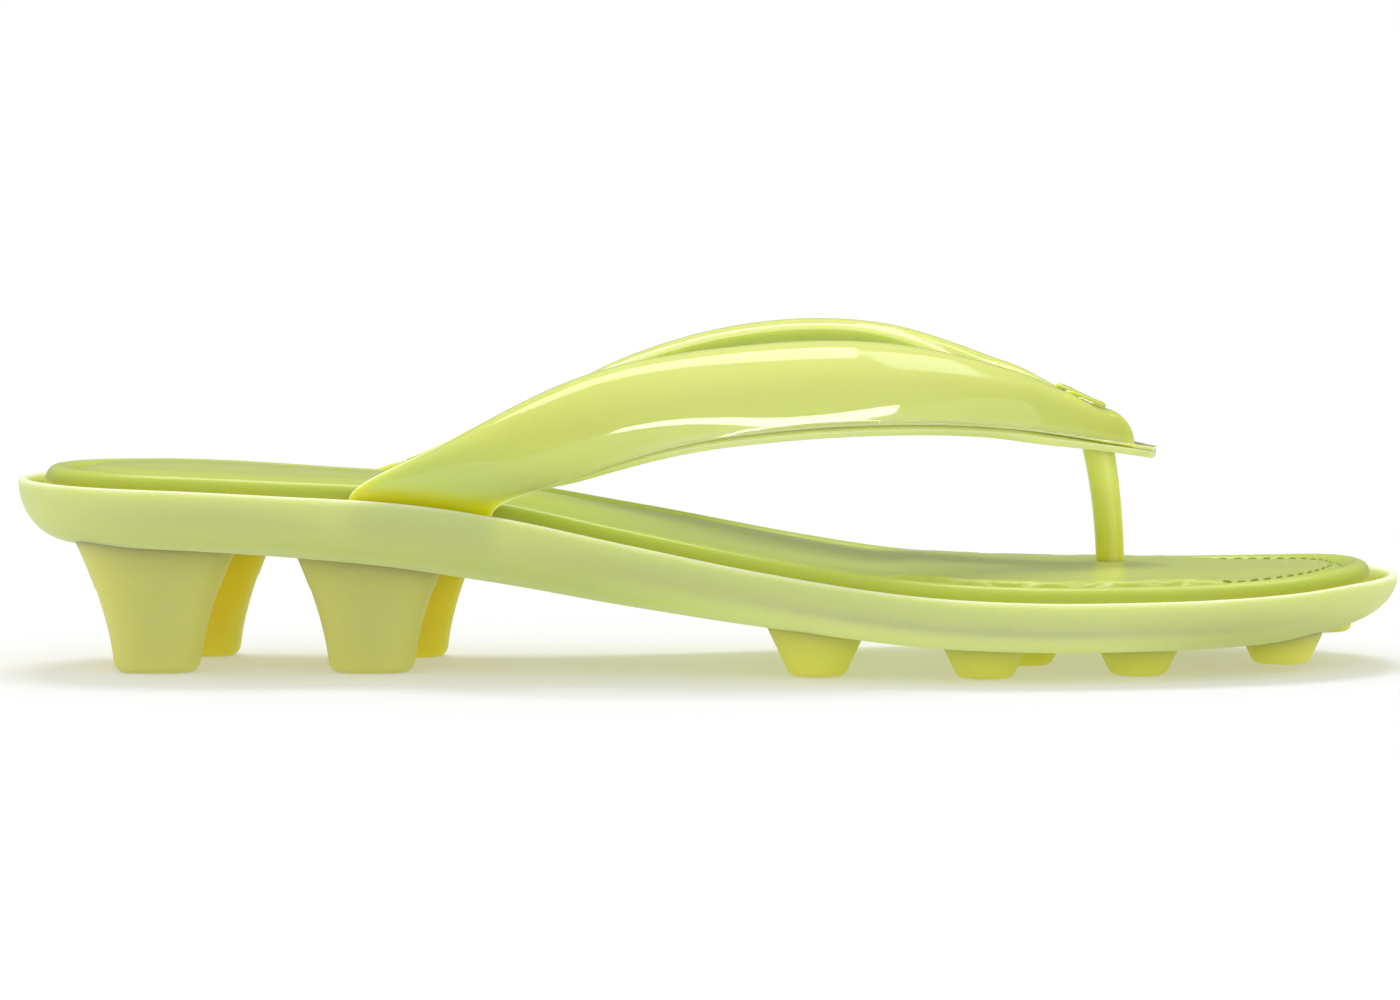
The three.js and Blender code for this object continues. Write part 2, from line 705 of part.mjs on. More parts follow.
function postColumn(grow) {
  const from = floorLevel(postShare) + gap - (grow > 0 ? 2 * gap : 0);
  const to = postReach * strapHeight;
  const sections = [];
  const steps = 8;
  for (let i = 0; i <= steps; i += 1) {
    const rise = i / steps;
    const growth = postTopGrowth * rise ** postGrowthPower;
    sections.push({
      x: postX - postLean * rise ** postLeanPower,
      y: postOffset,
      z: from + (to - from) * rise,
      halfX: (postLength + growth) / 2 + grow,
      halfY: (postWidth + growth) / 2 + grow,
      power: postSquareness,
    });
  }
  return columnBody(sections);
}

// ---- Assembly ----

const finishes = {
  frosted: { color: 0xcbd98c, roughness: 0.5, metalness: 0 },
  stud: { color: 0xc6c74f, roughness: 0.45, metalness: 0 },
  gloss: { color: 0xd3e27a, roughness: 0.12, metalness: 0 },
  cover: { color: 0xc3da62, roughness: 0.4, metalness: 0 },
  foam: { color: 0xefe9b8, roughness: 0.9, metalness: 0 },
  board: { color: 0xb79a6a, roughness: 0.85, metalness: 0 },
  steel: { color: 0x9aa0a6, roughness: 0.35, metalness: 1 },
};

const bodies = { rearfoot: [], forefoot: [] };

function addPiece(body, name, geometry, finish) {
  geometry.computeVertexNormals();
  const mesh = new THREE.Mesh(geometry, new THREE.MeshStandardMaterial(finishes[finish]));
  mesh.name = name;
  bodies[body].push(mesh);
}

const flexX = flexLine * soleLength;
const bodyOf = (share) => (share < flexLine ? 'rearfoot' : 'forefoot');

// The part of a piece on one side of the flex line.
function halfOf(geometry, from, to) {
  const tall = 4 * strapHeight;
  const slab = new THREE.BoxGeometry(to - from, 4 * ballWidth, tall);
  slab.translate((from + to) / 2, 0, 0);
  return overlap(geometry, slab);
}

const sockets = [...heelStuds, ...forefootStuds].map((stud) => studPeg(stud, gap));
const pockets = [shankSlab(gap), strapAnchor(-1, gap), strapAnchor(1, gap), postAnchor(gap)];
const tray = cut(trayBody(), ...sockets, ...pockets);
addPiece('rearfoot', 'outsole_rear', halfOf(tray, -soleLength, flexX - gap / 2), 'frosted');
addPiece('forefoot', 'outsole_forefoot', halfOf(tray, flexX + gap / 2, 2 * soleLength), 'frosted');

for (const stud of heelStuds) addPiece(bodyOf(stud.share), stud.name, bonded(stud, heelStud(stud)), 'stud');
for (const stud of forefootStuds) {
  addPiece(bodyOf(stud.share), stud.name, bonded(stud, forefootStud(stud)), 'stud');
}

const postHole = postColumn(gap);
addPiece('rearfoot', 'insole_board', cut(insoleBoard(), postHole), 'board');
addPiece('rearfoot', 'shank', shankSlab(0), 'steel');
addPiece('rearfoot', 'footbed_foam', cut(footbedFoam(), postHole), 'foam');
addPiece('rearfoot', 'footbed_cover', cut(footbedCover(), postHole), 'cover');

addPiece('rearfoot', 'strap_shell', strapShell(), 'gloss');
addPiece('rearfoot', 'strap_liner', strapLiner(), 'gloss');
addPiece('rearfoot', 'strap_anchor_lateral', strapAnchor(-1, 0), 'gloss');
addPiece('rearfoot', 'strap_anchor_medial', strapAnchor(1, 0), 'gloss');
addPiece('forefoot', 'vamp_boss', vampBoss(), 'gloss');
addPiece('forefoot', 'toe_post', cut(postColumn(0), spaceOverStraps()), 'gloss');
addPiece('forefoot', 'toe_post_anchor', postAnchor(0), 'gloss');

// The origin is on the floor under the middle of the sandal's box.
const sandal = new THREE.Group();
for (const body of Object.values(bodies)) sandal.add(new THREE.Group().add(...body));
const box = new THREE.Box3().setFromObject(sandal);
const middle = box.getCenter(new THREE.Vector3());
sandal.position.set(-middle.x, -middle.y, -box.min.z);

export default sandal;
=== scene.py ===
# A studded thong sandal for the right foot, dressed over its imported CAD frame.
# Sizes are millimetres in the CAD's own terms: x from the heel end, y to the medial side, z from the floor.
# "share" is a place along the sole, 0 at the heel end and 1 at the toe end. put() turns points into metres.

import bpy
import bmesh
import numpy as np
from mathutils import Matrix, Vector


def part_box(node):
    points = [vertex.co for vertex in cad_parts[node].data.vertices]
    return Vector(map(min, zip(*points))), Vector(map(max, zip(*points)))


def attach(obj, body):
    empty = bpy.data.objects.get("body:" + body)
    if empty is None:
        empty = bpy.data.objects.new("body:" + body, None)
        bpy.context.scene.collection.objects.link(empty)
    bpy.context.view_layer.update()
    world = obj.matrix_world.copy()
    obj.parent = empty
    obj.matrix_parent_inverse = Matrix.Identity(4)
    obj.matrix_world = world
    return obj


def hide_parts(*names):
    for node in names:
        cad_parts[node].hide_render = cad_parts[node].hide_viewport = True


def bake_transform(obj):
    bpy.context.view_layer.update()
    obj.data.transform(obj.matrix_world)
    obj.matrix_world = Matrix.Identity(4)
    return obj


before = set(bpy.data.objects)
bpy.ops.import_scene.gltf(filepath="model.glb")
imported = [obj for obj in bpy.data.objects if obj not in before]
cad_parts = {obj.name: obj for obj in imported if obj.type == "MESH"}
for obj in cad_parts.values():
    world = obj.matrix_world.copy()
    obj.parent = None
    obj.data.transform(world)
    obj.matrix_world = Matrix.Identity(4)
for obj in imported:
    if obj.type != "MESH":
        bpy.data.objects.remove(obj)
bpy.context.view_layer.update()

# ---- Camera ----
# A long lens a little above the floor, square to the lateral side, with the toe to the right.

camera_target = (-0.0019, 0.0, 0.0308)
camera_distance = 1.1
camera_elevation = np.radians(4.15)
camera_data = bpy.data.cameras.new("camera")
camera_data.lens = 149.6
camera_data.sensor_width = 36.0
camera_data.clip_start = 0.01
camera = bpy.data.objects.new("camera", camera_data)
camera.location = (
    camera_target[0],
    -camera_distance * np.cos(camera_elevation),
    camera_target[2] + camera_distance * np.sin(camera_elevation),
)
camera.rotation_euler = (np.pi / 2 - camera_elevation, 0.0, 0.0)
bpy.context.collection.objects.link(camera)
bpy.context.scene.camera = camera

# ---- Floor and light ----
# A plain white floor in a white room, under a wide sun that gives a soft shadow. Two strip lights hang
# over the sandal and a low one stands in front. They are seen only in shiny surfaces, as the strap's two
# bright bands.


def linear(code):
    """A hex sRGB colour as linear light: a channel c is c/12.92 up to 0.04045, else
    ((c+0.055)/1.055)^2.4."""
    value = np.array([int(code[i:i + 2], 16) for i in (1, 3, 5)]) / 255
    value = np.where(value <= 0.04045, value / 12.92, ((value + 0.055) / 1.055) ** 2.4)
    return (*value.tolist(), 1.0)


def node(material, kind, sockets=None, stops=None, **settings):
    """Adds a node. sockets are numbers or other nodes' outputs, and stops fill its colour ramp."""
    made = material.node_tree.nodes.new("ShaderNode" + kind)
    for name, value in settings.items():
        setattr(made, name, value)
    for name, value in (sockets or {}).items():
        if isinstance(value, bpy.types.NodeSocket):
            material.node_tree.links.new(value, made.inputs[name])
        else:
            made.inputs[name].default_value = value
    for number, (place, colour) in enumerate(stops or []):
        elements = made.color_ramp.elements
        element = elements[number] if number < 2 else elements.new(place)
        element.position = place
        element.color = linear(colour)
    return made


def new_material(name):
    """An empty node material."""
    material = bpy.data.materials.new(name)
    material.use_nodes = True
    material.node_tree.nodes.clear()
    return material


def finish(material, sockets):
    """Gives a material its shader, with these settings, and its output."""
    shader = node(material, "BsdfPrincipled", sockets)
    node(material, "OutputMaterial", {"Surface": shader.outputs["BSDF"]})


def object_place(material):
    """Object coordinates for a pattern."""
    return node(material, "TexCoord").outputs["Object"]


def strip_light(name, size, power, place, target):
    """A rectangular light of size (width, height) metres, at a place and turned to face a target. It is
    seen in shiny surfaces and lights nothing else."""
    light = bpy.data.lights.new(name, "AREA")
    light.shape = "RECTANGLE"
    light.size, light.size_y = size
    light.energy = power
    lamp = bpy.data.objects.new(name, light)
    lamp.location = place
    lamp.rotation_euler = Vector(np.subtract(place, target)).to_track_quat("Z", "Y").to_euler()
    lamp.visible_diffuse = False
    lamp.visible_camera = False
    bpy.context.collection.objects.link(lamp)


gloss_level = 0.2  # how bright the room looks in a shiny surface, as dark studio walls would make it
bpy.context.scene.view_settings.view_transform = "Standard"
room = bpy.data.worlds.new("white_room")
room.use_nodes = True
room_light = room.node_tree.nodes["Background"]
room_light.inputs["Color"].default_value = (1.0, 1.0, 1.0, 1.0)
room_rays = node(room, "LightPath")
room_level = node(room, "Math", {
    0: room_rays.outputs["Is Glossy Ray"], 1: gloss_level - 1.0, 2: 1.0}, operation="MULTIPLY_ADD")
room.node_tree.links.new(room_level.outputs["Value"], room_light.inputs["Strength"])
bpy.context.scene.world = room

floor_half, floor_drop = 30.0, 0.0002
floor_mesh = bpy.data.meshes.new("floor")
floor_mesh.from_pydata(
    [(x * floor_half, y * floor_half, -floor_drop) for x, y in ((-1, -1), (1, -1), (1, 1), (-1, 1))],
    [], [(0, 1, 2, 3)])
floor = bpy.data.objects.new("floor", floor_mesh)
bpy.context.collection.objects.link(floor)
# Matt painted board. It glows a little, so that it reads as white where nothing shades it and as a warm
# grey under the sandal.
white_board = new_material("matt_painted_board")
finish(white_board, {
    "Base Color": (0.44, 0.445, 0.54, 1.0), "Roughness": 0.9, "Specular IOR Level": 0.0,
    "Emission Color": (1.0, 0.98, 0.66, 1.0), "Emission Strength": 0.385})
floor_mesh.materials.append(white_board)

key_data = bpy.data.lights.new("overhead_key", "SUN")
key_data.energy = 1.5
key_data.angle = np.radians(22)
key = bpy.data.objects.new("overhead_key", key_data)
key.rotation_euler = (np.radians(-27), 0.0, 0.0)
key.visible_glossy = False
key.visible_camera = False
bpy.context.collection.objects.link(key)
strip_light("overhead_strip", (0.8, 0.34), 3.0, (-0.12, 0.37, 0.95), (0.0, 0.0, 0.03))
strip_light("overhead_strip_toe", (0.5, 0.34), 1.0, (0.5, 0.37, 0.88), (0.0, 0.0, 0.03))
strip_light("front_strip", (1.35, 0.2), 11.5, (0.6, -1.16, 0.11), (0.0, 0.0, 0.04))

# ---- Outsole tray ----
# One injection moulding in soft frosted PVC: a boat-shaped underside and a thin upright rim round the
# footbed. It is stored in the frame as two halves at the flex line. Here it is one skin.

sole_length = 261.0
heel_width, waist_width, ball_width = 62.0, 58.0, 90.0
heel_radius, toe_radius, toe_shift = 30.0, 33.0, 6.0
heel_rim_height, ball_rim_height, toe_spring = 35.0, 14.9, 1.9
heel_depth, waist_depth, ball_depth = 11.6, 12.7, 9.9
tray_recess, rim_wall, wall_foot = 6.0, 1.8, 2.1
side_tuck, heel_tuck, toe_tuck = 8.0, 10.0, 16.0
rim_drip = 0.4  # how far the hull's edge stops short of the rim
fit_gap = 0.3  # room left between pieces that lie on each other
side_steps = 120  # points along each side of the outline


def curve_through(pairs):
    """Cubics through (place, value) pairs. The slope at a pair is the mean of the two straight lines
    beside it."""
    places, values = np.array(pairs, float).T
    chords = np.diff(values) / np.diff(places)
    slopes = np.concatenate([chords[:1], (chords[1:] + chords[:-1]) / 2, chords[-1:]])

    def at(place):
        k = np.clip(np.searchsorted(places, place, side="right") - 1, 0, len(places) - 2)
        step = places[k + 1] - places[k]
        t = (place - places[k]) / step
        return (values[k] * (2 * t**3 - 3 * t**2 + 1) + slopes[k] * step * (t**3 - 2 * t**2 + t)
                + values[k + 1] * (3 * t**2 - 2 * t**3) + slopes[k + 1] * step * (t**3 - t**2))
    return at


def smoothstep(value, low, high):
    """0 below low, 1 above high, and 3t^2 - 2t^3 between them."""
    t = np.clip((value - low) / (high - low), 0, 1)
    return t * t * (3 - 2 * t)


def swelling(share, half_width):
    """What the half-width is to the sine 2*sqrt(s(1-s)) that rounds the sole's two ends."""
    return share, half_width / (2 * np.sqrt(share * (1 - share)))


def end_swelling(radius):
    """The swelling whose sine ends in that radius."""
    return np.sqrt(2 * radius * sole_length) / 2


lateral_swelling = curve_through([
    (0, end_swelling(heel_radius)), swelling(0.12, heel_width / 2), swelling(0.24, 0.98 * heel_width / 2),
    swelling(0.38, waist_width / 2), swelling(0.54, 0.8 * ball_width / 2), swelling(0.71, ball_width / 2),
    swelling(0.86, 0.88 * ball_width / 2), (1, end_swelling(toe_radius))])
medial_swelling = curve_through([
    (0, end_swelling(heel_radius)), swelling(0.12, heel_width / 2), swelling(0.24, 0.96 * heel_width / 2),
    swelling(0.4, 0.92 * waist_width / 2), swelling(0.56, 0.75 * ball_width / 2),
    swelling(0.73, 0.96 * ball_width / 2), swelling(0.86, 0.84 * ball_width / 2),
    (1, end_swelling(toe_radius))])
centre_line = curve_through([(0, 0), (0.55, 0), (0.8, 0.45 * toe_shift), (1, toe_shift)])
rim_drop = curve_through([
    (0, 1.02), (0.06, 1), (0.13, 0.98), (0.2, 0.935), (0.28, 0.87), (0.35, 0.74), (0.44, 0.5),
    (0.54, 0.255), (0.64, 0.075), (0.73, 0.01), (0.8, 0), (1, 0)])
toe_rise = curve_through([(0, 0), (0.8, 0), (0.86, 0.1), (0.92, 0.42), (0.96, 0.84), (1, 1)])
depth_at = curve_through([(0, heel_depth), (0.18, heel_depth), (0.33, waist_depth), (0.6, ball_depth),
                          (1, ball_depth)])
tuck_at = curve_through([(0, heel_tuck), (0.08, (heel_tuck + side_tuck) / 2), (0.2, side_tuck),
                         (0.8, side_tuck), (0.9, side_tuck + 2.5), (1, toe_tuck)])


def edge_at(share, side):
    """Distance from the straight centreline to the outline, side -1 for lateral and 1 for medial."""
    swell = np.where(np.asarray(side) < 0, lateral_swelling(share), medial_swelling(share))
    return centre_line(share) + side * swell * 2 * np.sqrt(share * (1 - share))


def rim_level(share):
    """Height of the tray's rim: the ball's, plus the heel's lift, plus the toe's spring."""
    return (ball_rim_height + (heel_rim_height - ball_rim_height) * rim_drop(share)
            + toe_spring * toe_rise(share))


def floor_level(share):
    """Height of the tray's inner floor."""
    return rim_level(share) - tray_recess


outline_steps = np.concatenate([np.arange(side_steps + 1), np.arange(side_steps - 1, 0, -1)])
outline_side = np.where(np.arange(2 * side_steps) <= side_steps, -1, 1)
outline_share = (1 - np.cos(np.pi * outline_steps / side_steps)) / 2
outline = np.stack([outline_share * sole_length, edge_at(outline_share, outline_side)], axis=1)
outline_run = np.roll(outline, -1, axis=0) - np.roll(outline, 1, axis=0)
inward = np.stack([-outline_run[:, 1], outline_run[:, 0]], axis=1)
inward /= np.linalg.norm(inward, axis=1, keepdims=True)
mirror = (-np.arange(2 * side_steps)) % (2 * side_steps)  # the outline point across from each point

fore_low, fore_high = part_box("outsole_forefoot")
frame_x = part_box("outsole_rear")[0][0]
frame_y = (fore_low[1] + fore_high[1]) / 2 - 0.0005 * (outline[:, 1].min() + outline[:, 1].max())


def put(points):
    """Millimetres from the heel end, to metres in the frame."""
    return np.asarray(points) * 0.001 + np.array([frame_x, frame_y, 0.0])


def across_at(points):
    """How far across the sole each (x, y) is: -1 at the lateral edge and 1 at the medial edge."""
    share = np.clip(points[..., 0] / sole_length, 1e-6, 1 - 1e-6)
    low, high = edge_at(share, -1), edge_at(share, 1)
    return (2 * points[..., 1] - low - high) / np.maximum(1, high - low)


def sole_ring(inset, level, to_middle=0.0):
    """The outline drawn in by inset along its normals, then a part of the way to its middle line, at a
    height level(share, across)."""
    drawn = outline + inward * np.broadcast_to(inset, len(outline))[:, None]
    middle = (drawn + drawn[mirror]) / 2
    placed = drawn + (middle - drawn) * to_middle
    share = np.clip(placed[:, 0] / sole_length, 0, 1)
    return np.column_stack([placed, level(share, across_at(placed))])


def new_piece(name, points, faces, material, sharp_angle=55.0):
    """A mesh piece from points in millimetres, shaded smooth but for edges sharper than an angle."""
    mesh = bpy.data.meshes.new(name)
    mesh.from_pydata(put(points), [], faces)
    mesh.materials.append(material)
    mesh.shade_smooth()
    mesh.set_sharp_from_angle(angle=np.radians(sharp_angle))
    piece = bpy.data.objects.new(name, mesh)
    bpy.context.collection.objects.link(piece)
    return piece


def ring_faces(ring_count, count, closed=True):
    """Quads between neighbouring rings of count points each, and strips across the two end rings."""
    ring, spot = np.meshgrid(np.arange(ring_count - 1), np.arange(count), indexing="ij")
    a = ring * count + spot
    b = ring * count + (spot + 1) % count
    quads = np.stack([a, b, b + count, a + count], axis=-1).reshape(-1, 4)
    faces = quads.tolist()
    if closed:
        half = count // 2
        i = np.arange(1, half - 1)
        strip = np.stack([i, i + 1, count - i - 1, count - i], axis=-1)
        ends = np.array([[0, 1, count - 1], [half - 1, half, half + 1]])
        last = (ring_count - 1) * count
        faces += [*strip[:, ::-1].tolist(), *ends[:, ::-1].tolist(),
                  *(strip + last).tolist(), *(ends + last).tolist()]
    return faces


def ring_piece(name, rings, material, sharp_angle=55.0):
    """A closed piece skinned over rings of equally many points."""
    return new_piece(name, np.concatenate(rings), ring_faces(len(rings), len(rings[0])), material, sharp_angle)


def paint(piece, name, values):
    """Stores a number per point as an attribute that the material reads."""
    layer = piece.data.attributes.new(name, "FLOAT", "POINT")
    layer.data.foreach_set("value", np.asarray(values, np.float32).ravel())


light_run = (1.0, 0.95, 0.35)  # how much further red and green light run in the yellow plastics than blue


# Soft PVC: plasticised and tinted, so light runs about in it. Thin edges get a pale painted glow, deep
# places are olive, and closed-in places get a painted yellow glow. A sand-blasted mould leaves it frosted,
# a polished one glossy.
def soft_pvc(name, stops, roughness, depth=0.006, grain=0.0, gloss=0.1, glow_tint="#e2f498"):
    """stops are the colours along the piece's attribute "shade", with a slow drift of 11 mm clouds; they paint
    light as well as tone. The last argument is the colour of the pale painted glow that the piece's second
    attribute brings in. depth is how far light runs, in metres.
    grain is the strength of a 0.6 mm frost, drawn coarser than it is so that it shows. gloss is the
    specular level."""
    material = new_material(name)
    shade = node(material, "Attribute", attribute_name="shade")
    noise = node(material, "TexNoise", {"Vector": object_place(material), "Scale": 90.0, "Detail": 2.0})
    drift = node(material, "Math", {0: noise.outputs["Fac"], 1: 0.08, 2: -0.04}, operation="MULTIPLY_ADD")
    place = node(material, "Math", {0: shade.outputs["Fac"], 1: drift.outputs["Value"]}, operation="ADD")
    colour = node(material, "ValToRGB", {"Fac": place.outputs["Value"]}, stops=stops)
    painted_glow = node(material, "Attribute", attribute_name="painted_glow")
    tinted = node(material, "Mix", {
        0: painted_glow.outputs["Fac"], 6: colour.outputs["Color"], 7: linear(glow_tint)}, data_type="RGBA")
    sockets = {
        "Base Color": tinted.outputs[2], "Roughness": roughness, "IOR": 1.53, "Specular IOR Level": gloss,
        "Subsurface Weight": 0.85, "Subsurface Scale": depth, "Subsurface Radius": light_run}
    if grain:
        frost = node(material, "TexNoise", {
            "Vector": object_place(material), "Scale": 1600.0, "Detail": 3.0})
        bump = node(material, "Bump", {
            "Height": frost.outputs["Fac"], "Strength": grain, "Distance": 0.0001})
        sockets["Normal"] = bump.outputs["Normal"]
    finish(material, sockets)
    return material


# The shade stops paint light: a whitish painted highlight along the rim's rounded top, and a painted yellow
# glow at the foot of the inner wall, in the gap by the footbed. Below the rim they change a little from the
# underside up.
frosted_pvc = soft_pvc("frosted_moulded_pvc", [
    (0.0, "#ccd488"), (0.08, "#d2dd9c"), (0.3, "#c5d182"), (0.55, "#c7d188"), (0.72, "#c4d08c"),
    (0.8, "#d6e0b4"), (0.9, "#cfd98a"), (1.0, "#d3cc20")],
    roughness=0.5, grain=0.25, gloss=0.08)

# The hull is a quarter of an ellipse from the underside up to the rim, then the rim is rounded over.
hull_turns = np.linspace(0, 1, 22)
rim_round = [(0.12, -0.14), (0.3, -0.03), (0.55, 0.0), (1.25, 0.0), (1.5, -0.04), (1.7, -0.2)]
tray_rings, tray_shade = [], []
for turn in hull_turns:
    angle = turn * np.pi / 2
    tray_rings.append(sole_ring(
        tuck_at(outline_share) * (1 - np.sin(angle)),
        lambda share, across: rim_level(share) - depth_at(share) * np.cos(angle) - rim_drip * turn))
    tray_shade.append(0.75 * turn)
for inset, drop in rim_round:
    tray_rings.append(sole_ring(inset, lambda share, across: rim_level(share) + drop))
    tray_shade.append(0.8)
# The wall is wider at its foot where the underside is rounder, so the tray is never thin at its corner.
wall_spread = wall_foot * tuck_at(outline_share) / side_tuck - rim_wall
for part_in, lift, shade in [(0.0, -0.5, 0.84), (0.15, -1.6, 0.9), (0.32, -3.0, 0.96), (0.5, -4.8, 1.0)]:
    tray_rings.append(sole_ring(
        rim_wall + wall_spread * part_in, lambda share, across: rim_level(share) + lift))
    tray_shade.append(shade)
for inset in (rim_wall + wall_spread + fit_gap, np.full(len(outline), 3 * wall_foot)):
    tray_rings.append(sole_ring(inset, lambda share, across: floor_level(share)))
    tray_shade.append(1.0)
tray = ring_piece("outsole_tray", tray_rings, frosted_pvc)
tray_level = np.repeat(tray_shade, len(outline))
tray_share = np.concatenate(tray_rings)[:, 0] / sole_length
paint(tray, "shade", tray_level)
# A pale painted glow over the lower hull from the waist to the ball, lifting the shade where the hull faces
# down.
paint(tray, "painted_glow", smoothstep(tray_share, 0.38, 0.6) * (1 - smoothstep(tray_share, 0.76, 0.88))
      * (1 - 0.8 * smoothstep(tray_level, 0.35, 0.75)))

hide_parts("outsole_rear", "outsole_forefoot")
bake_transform(tray)

# ---- Heel studs ----
# Four tall studs moulded in a yellower PVC and welded under the heel. Each flares like a horn up to the
# tray, is a rounded rectangle across, and has the faint ledge where the two halves of its mould met.

# The stops paint light: the studs' olive-yellow on faces turned out to the sides, rising to a bright painted
# yellow glow on the faces turned in under the sole.
stud_pvc = soft_pvc("yellow_moulded_pvc", [
    (0.0, "#c5c775"), (0.45, "#cecd78"), (0.7, "#d8d25c"), (1.0, "#ecd83c")],
    roughness=0.5, depth=0.015, grain=0.2, gloss=0.08, glow_tint="#e2e366")
stud_embed = 0.2  # how far a stud's top runs into the tray's skin, where the weld is
dense_share = (1 - np.cos(np.linspace(0, np.pi, 700))) / 2
dense_outline = np.concatenate([
    np.stack([dense_share * sole_length, edge_at(dense_share, side)], axis=1) for side in (-1, 1)])


def hull_bottom(points):
    """Height of the tray's underside over (x, y): with inset the distance to the outline and tuck the
    width of the rounded side, sin(angle) is 1 - inset / tuck, and the height is rim - depth *
    cos(angle)."""
    share = np.clip(points[:, 0] / sole_length, 0, 1)
    inset = np.sqrt(((points[:, None, :2] - dense_outline[None]) ** 2).sum(axis=2)).min(axis=1)
    sine = np.clip(1 - inset / tuck_at(share), 0, 1)
    drip = rim_drip * np.arcsin(sine) * 2 / np.pi
    return rim_level(share) - depth_at(share) * np.sqrt(1 - sine**2) - drip


def superellipse(count, power):
    """Points of the curve |x|^power + |y|^power = 1 as rows of x and y: a circle at 2, squarer above it."""
    angles = np.linspace(0, 2 * np.pi, count, endpoint=False) + np.pi
    waves = np.stack([np.cos(angles), np.sin(angles)])
    return np.sign(waves) * np.abs(waves) ** (2 / power)


def stud_piece(node_name, body, centre, foot, section_at, power, levels):
    """An upright horn. Its section at a height h is a superellipse: section_at(h) gives its half sides
    along x and y and how far it is moved in y, and its top follows the tray's underside. levels are parts
    of the height."""
    bend = superellipse(72, power)

    def section(height):
        half_x, half_y, moved = section_at(height)
        return np.stack([centre[0] + half_x * bend[0], centre[1] + moved + half_y * bend[1]], axis=1)

    top = np.full(bend.shape[1], hull_bottom(np.array([centre]))[0])
    for _ in range(12):
        top = 0.5 * top + 0.5 * hull_bottom(section(top - foot))
    tip = section(np.zeros(len(top))) * 0.02 + np.array(centre) * 0.98
    rings = [np.column_stack([tip, np.full(len(top), foot)])]
    for level in levels:
        height = (top - foot) * level
        rings.append(np.column_stack([section(height), foot + height]))
    rings.append(np.column_stack([section(top - foot), top + stud_embed]))
    piece = ring_piece(node_name + "_moulding", rings, stud_pvc)
    paint(piece, "shade", stud_shade(np.concatenate(rings)))
    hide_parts(node_name)
    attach(piece, body)
    return piece


def stud_centre(share, across):
    """Where a stud stands: across is a part of the way from the middle of the sole to its edge."""
    low, high = edge_at(share, -1), edge_at(share, 1)
    return share * sole_length, (low + high) / 2 + across * (high - low) / 2


def stud_shade(points):
    """0 on the faces turned out to the sides, 1 on those turned in under the sole, which get a painted yellow
    glow for the light that reaches them there."""
    return smoothstep(-np.abs(points[:, 1]), -24.0, -7.0) * 0.9 + 0.1 * smoothstep(points[:, 2], 4.0, 20.0)


heel_stud_length, heel_stud_width = 16.0, 13.5
heel_flare, flare_height, flare_power, side_flare = 7.3, 24.0, 1.6, 0.45
ledge_height, ledge_step = 15.2, 0.14
tip_round, heel_squareness = 1.9, 2.9


def heel_section(height, side):
    """Half sides and side shift: an upright foot with a rounded edge, a flare that grows as height^1.6,
    and a ledge. The outer face stands upright, so what the sides gain is moved in under the heel."""
    flare = heel_flare * (np.maximum(height, 0) / flare_height) ** flare_power
    t = np.clip(1 - height / tip_round, 0, 1)
    trim = ledge_step * (smoothstep(height, ledge_height, ledge_height + 0.25) - 0.5) \
        - tip_round * 0.75 * (1 - np.sqrt(1 - t**2))
    return (heel_stud_length / 2 + flare + trim, heel_stud_width / 2 + side_flare * flare + trim,
            -side * side_flare * flare)


heel_levels = np.concatenate([
    [0.0, 0.003, 0.01, 0.02, 0.034, 0.05, 0.07], np.linspace(0.1, 0.56, 9), np.linspace(0.57, 0.7, 30),
    np.linspace(0.73, 1.0, 8)])
for place, share, across in [("rear_lateral", 0.1043, -0.47), ("rear_medial", 0.124, 0.53),
                             ("front_lateral", 0.258, -0.47), ("front_medial", 0.277, 0.52)]:
    stud_piece("heel_stud_" + place, "rearfoot", stud_centre(share, across), 0.0,
               lambda height: heel_section(height, np.sign(across)), heel_squareness, heel_levels)

# ---- Forefoot studs ----
# Nine short round studs of the same PVC, cones with a softly rounded end. The last two stand off the
# floor, where the toe springs up.

forefoot_radius, forefoot_slope, forefoot_round = 5.15, 0.47, 0.9
full_cone, toe_cone = 9.0, 1.0  # where a cone stops widening: the toe stud has no room to


def forefoot_section(height, cone_height):
    """A cone's radius both ways, which widens up to cone_height, less a quarter circle at its end."""
    t = np.clip(1 - height / forefoot_round, 0, 1)
    radius = (forefoot_radius + forefoot_slope * np.minimum(height, cone_height)
              - forefoot_round * (1 - np.sqrt(1 - t**2)))
    return radius, radius, 0.0


forefoot_levels = np.concatenate([[0.0, 0.01, 0.03, 0.06, 0.1, 0.15, 0.2], np.linspace(0.27, 1.0, 12)])
for place, body, share, across, foot in [
        ("lateral_1", "rearfoot", 0.576, -0.58, 0.0), ("medial_1", "rearfoot", 0.583, 0.58, 0.0),
        ("lateral_2", "forefoot", 0.6945, -0.61, 0.0), ("medial_2", "forefoot", 0.711, 0.61, 0.0),
        ("centre", "forefoot", 0.727, -0.07, 0.0), ("lateral_3", "forefoot", 0.8045, -0.54, 0.0),
        ("medial_3", "forefoot", 0.82, 0.55, 0.0), ("lateral_4", "forefoot", 0.9095, -0.46, 1.2),
        ("medial_4", "forefoot", 0.948, 0.24, 5.0)]:
    cone_height = toe_cone if place == "medial_4" else full_cone
    stud = stud_piece("forefoot_stud_" + place, body, stud_centre(share, across), foot,
                      lambda height: forefoot_section(height, cone_height), 2.0, forefoot_levels)
    # A pale painted glow over each forefoot stud, lifting the shade under the forefoot.
    paint(stud, "painted_glow", np.full(len(stud.data.vertices), 0.85))

